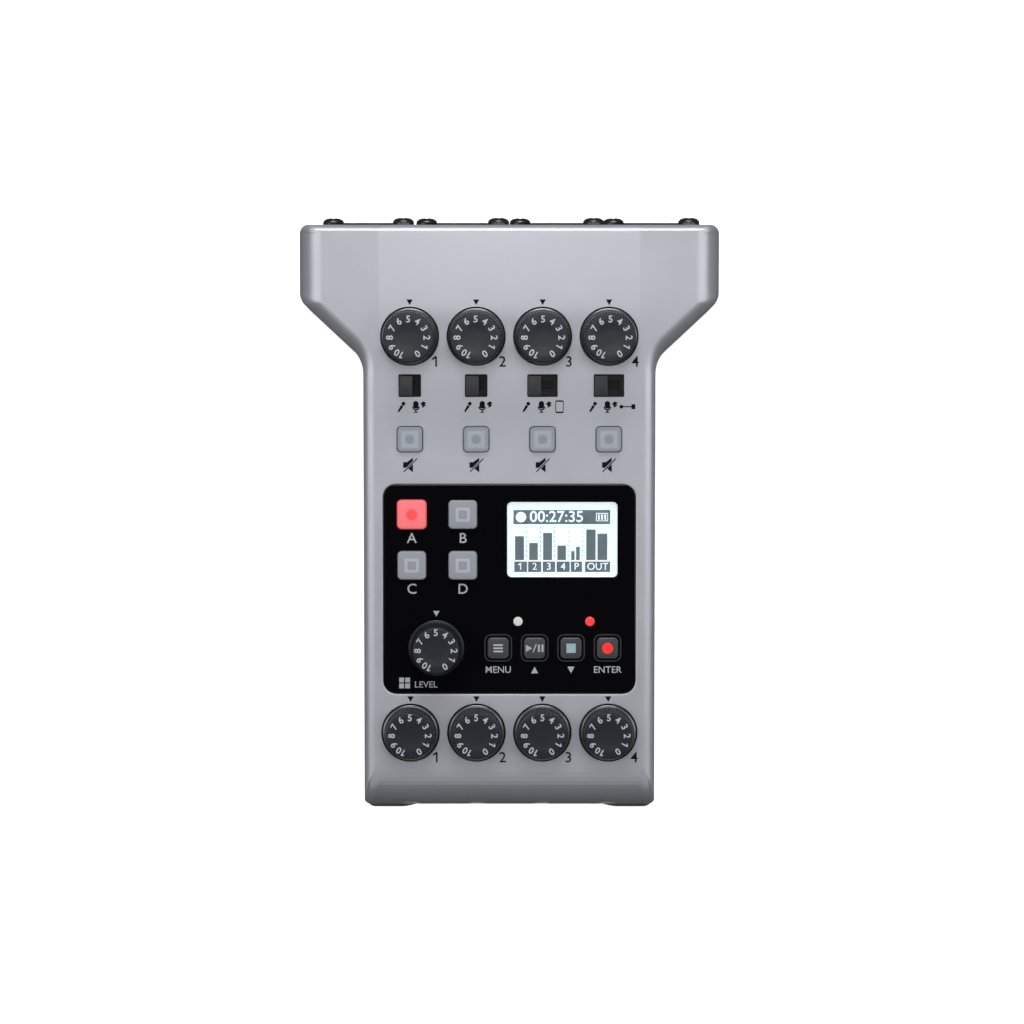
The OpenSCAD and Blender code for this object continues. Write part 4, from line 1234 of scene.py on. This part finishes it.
class RECORDER_OT_dials(bpy.types.Operator):
    """Gain, headphone and pad level dials with their numbers"""
    bl_idname = "recorder.dials"
    bl_label = "Dials"

    def execute(self, context):
        names = [f"{kind}_{i}" for kind in ("gain", "phones") for i in range(1, 5)] + ["pad"]
        for name in names:
            kind, _, number = name.partition("_")
            self.dial(kind, "_" + number if number else "")
        return {"FINISHED"}

    def dial(self, kind, number):
        rise, top_r = DIAL_SIZES[kind]
        body = f"{kind}_dial{number}"
        place = on_panel(*joint_place(body + "_turn"))
        make_piece(f"{kind}_grip{number}", dial_solid(rise, top_r), dial_plastic(), body,
                   [f"{kind}_knob{number}"], place)
        skirt_finish = black_plastic() if kind == "pad" else skirt_gloss()
        make_piece(f"{kind}_skirt{number}", skirt_solid(), skirt_finish, body,
                   [f"{kind}_knob{number}"], place)
        make_piece(f"{kind}_digits{number}", digit_solid(rise), dial_print(), body, place=place)
        dress_node(f"{kind}_shaft{number}", turned_metal())


# Sliders and keys


class RECORDER_OT_sliders(bpy.types.Operator):
    """Input selector sliders and the power slider"""
    bl_idname = "recorder.sliders"
    bl_label = "Sliders"

    def execute(self, context):
        for i in range(4):
            node = f"input_slider_{i + 1}"
            bm = bmesh.new()
            place = on_panel(box_centre(node).x, SLIDER_T)
            add_block(bm, SLIDER_W, SLOT_D - 2 * SLIDE_GAP, SLOT_CORNER, SLIDER_FOOT, SLIDER_PROUD, edge=0.3)
            add_block(bm, *SLIDER_STEM, SLIDER_STEM_FOOT, SLIDER_FOOT)
            make_piece(f"selector_{i + 1}", bm, slider_plastic(), node, [node], place)
        self.power()
        return {"FINISHED"}

    def power(self):
        bm = bmesh.new()
        place = on_side(1, POWER_T, POWER_DROP) @ Matrix.Translation((-POWER_TRAVEL / 2, 0, 0))
        w, d, thick = POWER_CAP
        rib_h = 0.4
        add_block(bm, w, d, POWER_CORNER, -thick, -rib_h, edge=0.25)
        add_block(bm, *POWER_STEM, STEM_CORNER, -4, -thick)
        for k in range(5):
            rib = Matrix.Translation((1.1 * (k - 2), 0, 0))
            add_block(bm, 0.5, 2.2, 0.2, -rib_h - 0.05, 0, rib, edge=0.18)
        node = "power_slider"
        make_piece("power_thumb", bm, slider_plastic(), node, [node], place)


def key_solid(w):
    """A cap through the panel, with a flange under it and a stem over its switch."""
    bm = bmesh.new()
    under = -PANEL_T - 0.05
    flange = w + 2 * (SLIDE_GAP + KEY_FLANGE)
    add_block(bm, w, w, KEY_CORNER, under, KEY_PROUD, edge=look("keys").edge / MM)
    add_block(bm, flange, flange, KEY_CORNER, under - 1, under)
    add_rod(bm, 1.5, -4.2, under - 1, steps=32)
    return bm


class RECORDER_OT_mute_keys(bpy.types.Operator):
    """Frosted mute keys"""
    bl_idname = "recorder.mute_keys"
    bl_label = "Mute keys"

    def execute(self, context):
        for i, place in enumerate(MUTE_PLACES, 1):
            node = f"mute_key_{i}"
            cap = key_solid(MUTE_W)
            make_piece(f"mute_cap_{i}", cap, mute_frost(), node, [node], place)
        return {"FINISHED"}


class RECORDER_OT_pads(bpy.types.Operator):
    """Sound pads, the first of them lit"""
    bl_idname = "recorder.pads"
    bl_label = "Sound pads"

    def execute(self, context):
        for i, place in enumerate(PAD_PLACES, 1):
            node = f"sound_pad_{i}"
            material = pad_glow() if i == 1 else pad_frost()
            make_piece(f"pad_cap_{i}", key_solid(PAD_W), material, node, [node], place)
        return {"FINISHED"}


def menu_mark(bm):
    for k in (-1, 0, 1):
        add_slab(bm, rectangle(2.5, 0.42, 0, 0.85 * k), Matrix.Translation((0, 0, KEY_PROUD)))


def play_mark(bm):
    top = Matrix.Translation((0, 0, KEY_PROUD))
    add_slab(bm, [(-2.35, -1.0), (-0.65, 0), (-2.35, 1.0)], top)
    add_slab(bm, [(-0.6, -1.1), (-0.25, -1.1), (0.6, 1.1), (0.25, 1.1)], top)
    for x in (1.15, 2.1):
        add_slab(bm, rectangle(0.55, 2, x, 0), top)


def stop_mark(bm):
    add_slab(bm, rectangle(2.5, 2.5), Matrix.Translation((0, 0, KEY_PROUD)))


def record_mark(bm):
    add_slab(bm, disc(1.45), Matrix.Translation((0, 0, KEY_PROUD)))


class RECORDER_OT_transport_keys(bpy.types.Operator):
    """Menu, play, stop and record keys with their marks"""
    bl_idname = "recorder.transport_keys"
    bl_label = "Transport keys"

    def execute(self, context):
        marks = ((menu_mark, dial_print()), (play_mark, pale_print()),
                 (stop_mark, moulded("stop print", (0.3, 0.42, 0.47), 0.5, 9000, 0.01)),
                 (record_mark, lit("record print", (0.8, 0.025, 0.015), 0.5)))
        for node, place, (draw, material) in zip(TRANSPORT_KEYS, TRANSPORT_PLACES, marks):
            cap = node.replace("_key", "_cap")
            make_piece(cap, key_solid(TRANSPORT_W), transport_plastic(), node, [node], place)
            bm = bmesh.new()
            draw(bm)
            make_piece(node.replace("_key", "_mark"), bm, material, node, place=place)
        return {"FINISHED"}


# Printed marks


def triangle(w, h, point):
    """A triangle that points up the slope or, with point -1, down it."""
    return [(-w / 2, -point * h / 2), (w / 2, -point * h / 2), (0, point * h / 2)][::point]


def turned_at(x, y, angle):
    return Matrix.Translation((x, y, 0)) @ Matrix.Rotation(math.radians(angle), 4, "Z")


def stick_microphone(bm, place):
    place = place @ turned_at(0, 0, -32)
    add_slab(bm, [(-0.22, -1.6), (0.22, -1.6), (0.36, 0.35), (-0.36, 0.35)], place)
    add_slab(bm, disc(0.5, 0, 0.95, 20), place)


def stand_microphone(bm, place):
    add_slab(bm, round_rectangle(1.4, 2, 0.65), place @ Matrix.Translation((0, 0.5, 0)))
    turns = [math.pi * (1 + k / 12) for k in range(13)]
    cup = [(r * math.cos(a), r * math.sin(a)) for r, row in ((1, turns), (0.65, turns[::-1])) for a in row]
    add_slab(bm, cup, place)
    add_slab(bm, rectangle(0.3, 0.4, 0, -1.15), place)
    add_slab(bm, rectangle(1, 0.3, 0, -1.45), place)


def power_bolt(bm, place):
    bolt = [(0.15, -0.85), (0.8, 0.3), (0.3, 0.2), (0.6, 0.85), (-0.4, 0.85), (-0.75, -0.2), (-0.2, -0.15)]
    add_slab(bm, bolt, place @ turned_at(0, 0.5, -25))


def telephone(bm, place):
    add_frame(bm, round_rectangle(2.2, 3.4, 0.4), round_rectangle(1.8, 2.6, 0.15), place)


def plug_and_lead(bm, place):
    add_slab(bm, rectangle(2.6, 0.28), place)
    add_slab(bm, disc(0.5, -1.6, 0, 20), place)
    add_slab(bm, rectangle(1.0, 1.3, 1.6, 0), place)


def crossed_speaker(bm, place):
    add_slab(bm, [(-1.9, 0.75), (-0.9, 0.75), (0.7, 1.95), (0.7, 1.05), (-1.1, -0.75), (-1.9, -0.75)], place)
    add_slab(bm, [(0.7, 0.25), (-0.55, -1), (0.7, -1.95)], place)
    add_slab(bm, [(-1.85, -1.75), (-1.65, -1.95), (1.9, 1.6), (1.7, 1.8)], place)


SELECTOR_MARKS = (((-2.2, stick_microphone), (1.6, stand_microphone), (3.5, power_bolt)),) * 2 + (
    ((-4.3, stick_microphone), (-0.3, stand_microphone), (1.6, power_bolt), (4.5, telephone)),
    ((-4.2, stick_microphone), (-0.4, stand_microphone), (1.5, power_bolt), (4.9, plug_and_lead)))


class RECORDER_OT_legends(bpy.types.Operator):
    """Marks printed on the paint and on the plate"""
    bl_idname = "recorder.legends"
    bl_label = "Printed marks"

    MARKER_T = {"gain": 20.5, "phones": 126.45}
    NUMBER_T = {"gain": 36.35, "phones": 142.3}
    NUMBER_DX = 7
    MARK_T = 48.2
    SPEAKER_T = 63.7
    LABEL_T = 118.6

    def execute(self, context):
        make_piece("case_print", self.on_paint(), dark_print())
        make_piece("plate_print", self.on_plate(), pale_print())
        return {"FINISHED"}

    def on_paint(self):
        bm = bmesh.new()
        for i, x in enumerate(DIAL_X):
            for row in ("gain", "phones"):
                add_slab(bm, triangle(1.7, 1.5, -1), on_panel(x, self.MARKER_T[row]))
                add_words(bm, str(i + 1), 2.75, on_panel(x + self.NUMBER_DX, self.NUMBER_T[row]))
            for dx, draw in SELECTOR_MARKS[i]:
                draw(bm, on_panel(x + dx, self.MARK_T))
            crossed_speaker(bm, on_panel(x + 0.1, self.SPEAKER_T))
        return bm

    def on_plate(self):
        bm = bmesh.new()
        for letter, x, t in zip("ABCD", PAD_X, PAD_T):
            add_words(bm, letter, 2.65, on_panel(x, t + 6.45))
        add_slab(bm, triangle(1.7, 1.5, -1), on_panel(PAD_DIAL_X, TRANSPORT_T - 9.15))
        for x, words in ((TRANSPORT_X[0], "MENU"), (TRANSPORT_X[3], "ENTER")):
            add_words(bm, words, 1.75, on_panel(x, self.LABEL_T))
        for x, point in ((TRANSPORT_X[1], 1), (TRANSPORT_X[2], -1)):
            add_slab(bm, triangle(1.9, 1.8, point), on_panel(x, self.LABEL_T))
        for dx in (-0.8, 0.8):
            for dy in (-0.8, 0.8):
                add_slab(bm, rectangle(1.3, 1.3, dx, dy), on_panel(-28, 122.1))
        add_words(bm, "LEVEL", 1.65, on_panel(-25.4, 122.6), "LEFT")
        return bm


# Sockets, screws and covers


def screw_solid():
    """A domed screw with a cross recess; local z runs out of the head."""
    side_h = 0.55
    profile = [(SCREW_R, -SCREW_L), (SCREW_R, 0), (SCREW_HEAD_R, 0.02), (SCREW_HEAD_R, side_h)]
    for k in range(1, 7):
        a = math.pi / 2 * k / 7
        profile.append((SCREW_HEAD_R * math.cos(a) ** 0.7, side_h + (SCREW_HEAD_H - side_h) * math.sin(a)))
    profile.append((0.2, SCREW_HEAD_H))
    head = bmesh.new()
    add_loft(head, [circle_ring(r, z, 32) for r, z in profile])
    for turn in (0, math.pi / 2):
        slot = bmesh.new()
        add_block(slot, 3.2, 0.8, 0.2, SCREW_HEAD_H - 1.1, SCREW_HEAD_H + 1, Matrix.Rotation(turn, 4, "Z"))
        head = carve(head, slot)
    return head


class RECORDER_OT_sockets(bpy.types.Operator):
    """Microphone sockets with their screws, jacks, data ports, card slot and cover"""
    bl_idname = "recorder.sockets"
    bl_label = "Sockets"

    def execute(self, context):
        for i in range(1, 5):
            dress_node(f"xlr_socket_{i}", black_plastic())
        for node, material in (("xlr_inserts", black_plastic()), ("xlr_contacts", plated_contact()),
                               ("small_jacks", black_plastic()), ("usb_sockets", bright_steel()),
                               ("card_socket", bright_steel())):
            dress_node(node, material)
        self.screws()
        self.cover()
        return {"FINISHED"}

    def screws(self):
        screw = screw_solid()
        places = [on_rear(x) @ Matrix.Translation((s * XLR_SCREW_DX / 2, -s * XLR_SCREW_DZ / 2, 0))
                  for x in XLR_X for s in (-1, 1)]
        bm = bmesh.new()
        add_copies(bm, screw, places)
        screw.free()
        make_piece("socket_screws", bm, black_metal(), stands_for=["xlr_screws"])

    def cover(self):
        place = on_side(-1, CARD_T, CARD_DROP) @ Matrix.Translation((0, -COVER_LOW, -0.1 - COVER_T / 2))
        bm = bmesh.new()
        along = Matrix.Rotation(math.pi / 2, 4, "Y")
        add_rod(bm, COVER_T / 2, -COVER_W / 2, COVER_W / 2, along, 32)
        add_rod(bm, 0.4, -COVER_W / 2 - 0.8, COVER_W / 2 + 0.8, along, 24)
        flap = bmesh.new()
        add_block(flap, COVER_W, COVER_H, COVER_CORNER, -COVER_T / 2, COVER_T / 2,
                  Matrix.Translation((0, COVER_H / 2, 0)), edge=0.25)
        notch = bmesh.new()
        add_block(notch, 7, 1.6, 0.7, COVER_T / 2 - 0.4, COVER_T, Matrix.Translation((0, COVER_H - 1.4, 0)))
        add_copies(bm, carve(flap, notch), [IDENTITY])
        make_piece("card_flap", bm, dark_plastic(), "card_cover", ["card_cover"], place)


class RECORDER_OT_inner_parts(bpy.types.Operator):
    """Finishes of the parts inside the case"""
    bl_idname = "recorder.inner_parts"
    bl_label = "Inner parts"

    def execute(self, context):
        dress_node("main_board", board_lacquer())
        dress_node("potentiometers", bright_steel())
        dress_node("board_switches", black_plastic())
        dress_node("battery_cells", cell_wrap())
        dress_node("battery_contacts", bright_steel())
        return {"FINISHED"}


# Stage


def floor_material():
    """A pale floor that the camera sees brighter than the part does."""
    material, tree, shader = new_shader("floor")
    settings = look("stage")
    grain = place_group(tree, moulded_grain(), Colour=rgba(settings.floor), Colour_spread=0.005, Roughness=0.8,
                        Roughness_spread=0.05, Grain=300)
    tree.links.new(grain.outputs["Colour"], shader.inputs["Base Color"])
    tree.links.new(grain.outputs["Roughness"], shader.inputs["Roughness"])
    seen = tree.nodes.new("ShaderNodeEmission")
    seen.inputs["Color"].default_value = (1, 1, 1, 1)
    seen.inputs["Strength"].default_value = 0.75
    both = tree.nodes.new("ShaderNodeAddShader")
    dark = tree.nodes.new("ShaderNodeBsdfDiffuse")
    dark.inputs["Color"].default_value = (0.12, 0.12, 0.12, 1)
    path = tree.nodes.new("ShaderNodeLightPath")
    pick = tree.nodes.new("ShaderNodeMixShader")
    tree.links.new(shader.outputs[0], both.inputs[0])
    tree.links.new(seen.outputs[0], both.inputs[1])
    tree.links.new(path.outputs["Is Camera Ray"], pick.inputs[0])
    tree.links.new(dark.outputs[0], pick.inputs[1])
    tree.links.new(both.outputs[0], pick.inputs[2])
    tree.links.new(pick.outputs[0], tree.nodes["Material Output"].inputs["Surface"])
    return material


class RECORDER_OT_stage(bpy.types.Operator):
    """Floor, lights and camera"""
    bl_idname = "recorder.stage"
    bl_label = "Stage"

    FLOOR_HALF = 2
    FLOOR_DROP = 0.0002
    CAMERA_X = 0.0007
    CAMERA_FROM_REAR = 0.07602

    def execute(self, context):
        self.floor()
        settings = look("stage")
        self.light("top_light", (0, 0.1, 0.55), (0.16, 0.2), settings.top_power)
        self.light("left_light", (-0.7, 0, 0.76), (0.42, 0.9), settings.side_power)
        self.light("right_light", (0.7, 0, 0.76), (0.42, 0.9), settings.side_power)
        self.light("rear_light", (0, 0.6, 0.45), (0.5, 0.2), settings.rear_power)
        self.light("front_light", (0, -0.75, 0.68), (0.6, 1.2), settings.front_power)
        self.world()
        self.camera()
        return {"FINISHED"}

    def floor(self):
        half = self.FLOOR_HALF
        mesh = bpy.data.meshes.new("floor")
        corners = [(x, y, -self.FLOOR_DROP) for x, y in rectangle(2 * half, 2 * half)]
        mesh.from_pydata(corners, [], [(0, 1, 2, 3)])
        mesh.materials.append(floor_material())
        ground = bpy.data.objects.new("floor", mesh)
        bpy.context.scene.collection.objects.link(ground)

    def light(self, name, place, size, power):
        lamp = bpy.data.lights.new(name, "AREA")
        lamp.shape = "RECTANGLE"
        lamp.size, lamp.size_y = size
        lamp.energy = power
        holder = bpy.data.objects.new(name, lamp)
        holder.location = place
        holder.rotation_euler = (-Vector(place)).to_track_quat("-Z", "Y").to_euler()
        holder.visible_camera = False
        bpy.context.scene.collection.objects.link(holder)

    def world(self):
        world = bpy.data.worlds.new("studio")
        world.use_nodes = True
        backdrop = world.node_tree.nodes["Background"]
        backdrop.inputs["Color"].default_value = (0.9, 0.95, 1, 1)
        backdrop.inputs["Strength"].default_value = 0.01
        bpy.context.scene.world = world

    def camera(self):
        settings = look("stage")
        data = bpy.data.cameras.new("camera")
        data.lens = settings.lens
        data.clip_end = 20
        holder = bpy.data.objects.new("camera", data)
        holder.location = (self.CAMERA_X, REAR_Y * MM - self.CAMERA_FROM_REAR, settings.height)
        bpy.context.scene.collection.objects.link(holder)
        bpy.context.scene.camera = holder
        bpy.context.scene.view_settings.view_transform = "Standard"


class RECORDER_PT_panel(bpy.types.Panel):
    """Lists the recorder's operators"""
    bl_idname = "RECORDER_PT_panel"
    bl_label = "Podcast recorder"
    bl_space_type = "VIEW_3D"
    bl_region_type = "UI"
    bl_category = "Recorder"

    def draw(self, context):
        for operator in OPERATORS:
            self.layout.operator(operator.bl_idname)
        for name, group in LOOKS.items():
            for title in group.__annotations__:
                self.layout.prop(getattr(context.scene, name), title)


OPERATORS = (RECORDER_OT_stage, RECORDER_OT_top_case, RECORDER_OT_bottom_case, RECORDER_OT_control_plate,
             RECORDER_OT_display, RECORDER_OT_dials, RECORDER_OT_sliders, RECORDER_OT_mute_keys, RECORDER_OT_pads,
             RECORDER_OT_transport_keys, RECORDER_OT_legends, RECORDER_OT_sockets, RECORDER_OT_inner_parts)
CLASSES = (*LOOKS.values(), *OPERATORS, RECORDER_PT_panel)


def register():
    for item in CLASSES:
        bpy.utils.register_class(item)
    for name, group in LOOKS.items():
        setattr(bpy.types.Scene, name, PointerProperty(type=group))


def unregister():
    for name in LOOKS:
        delattr(bpy.types.Scene, name)
    for item in reversed(CLASSES):
        bpy.utils.unregister_class(item)


def main():
    register()
    for operator in OPERATORS:
        group, name = operator.bl_idname.split(".")
        getattr(getattr(bpy.ops, group), name)()


if __name__ == "__main__":
    main()
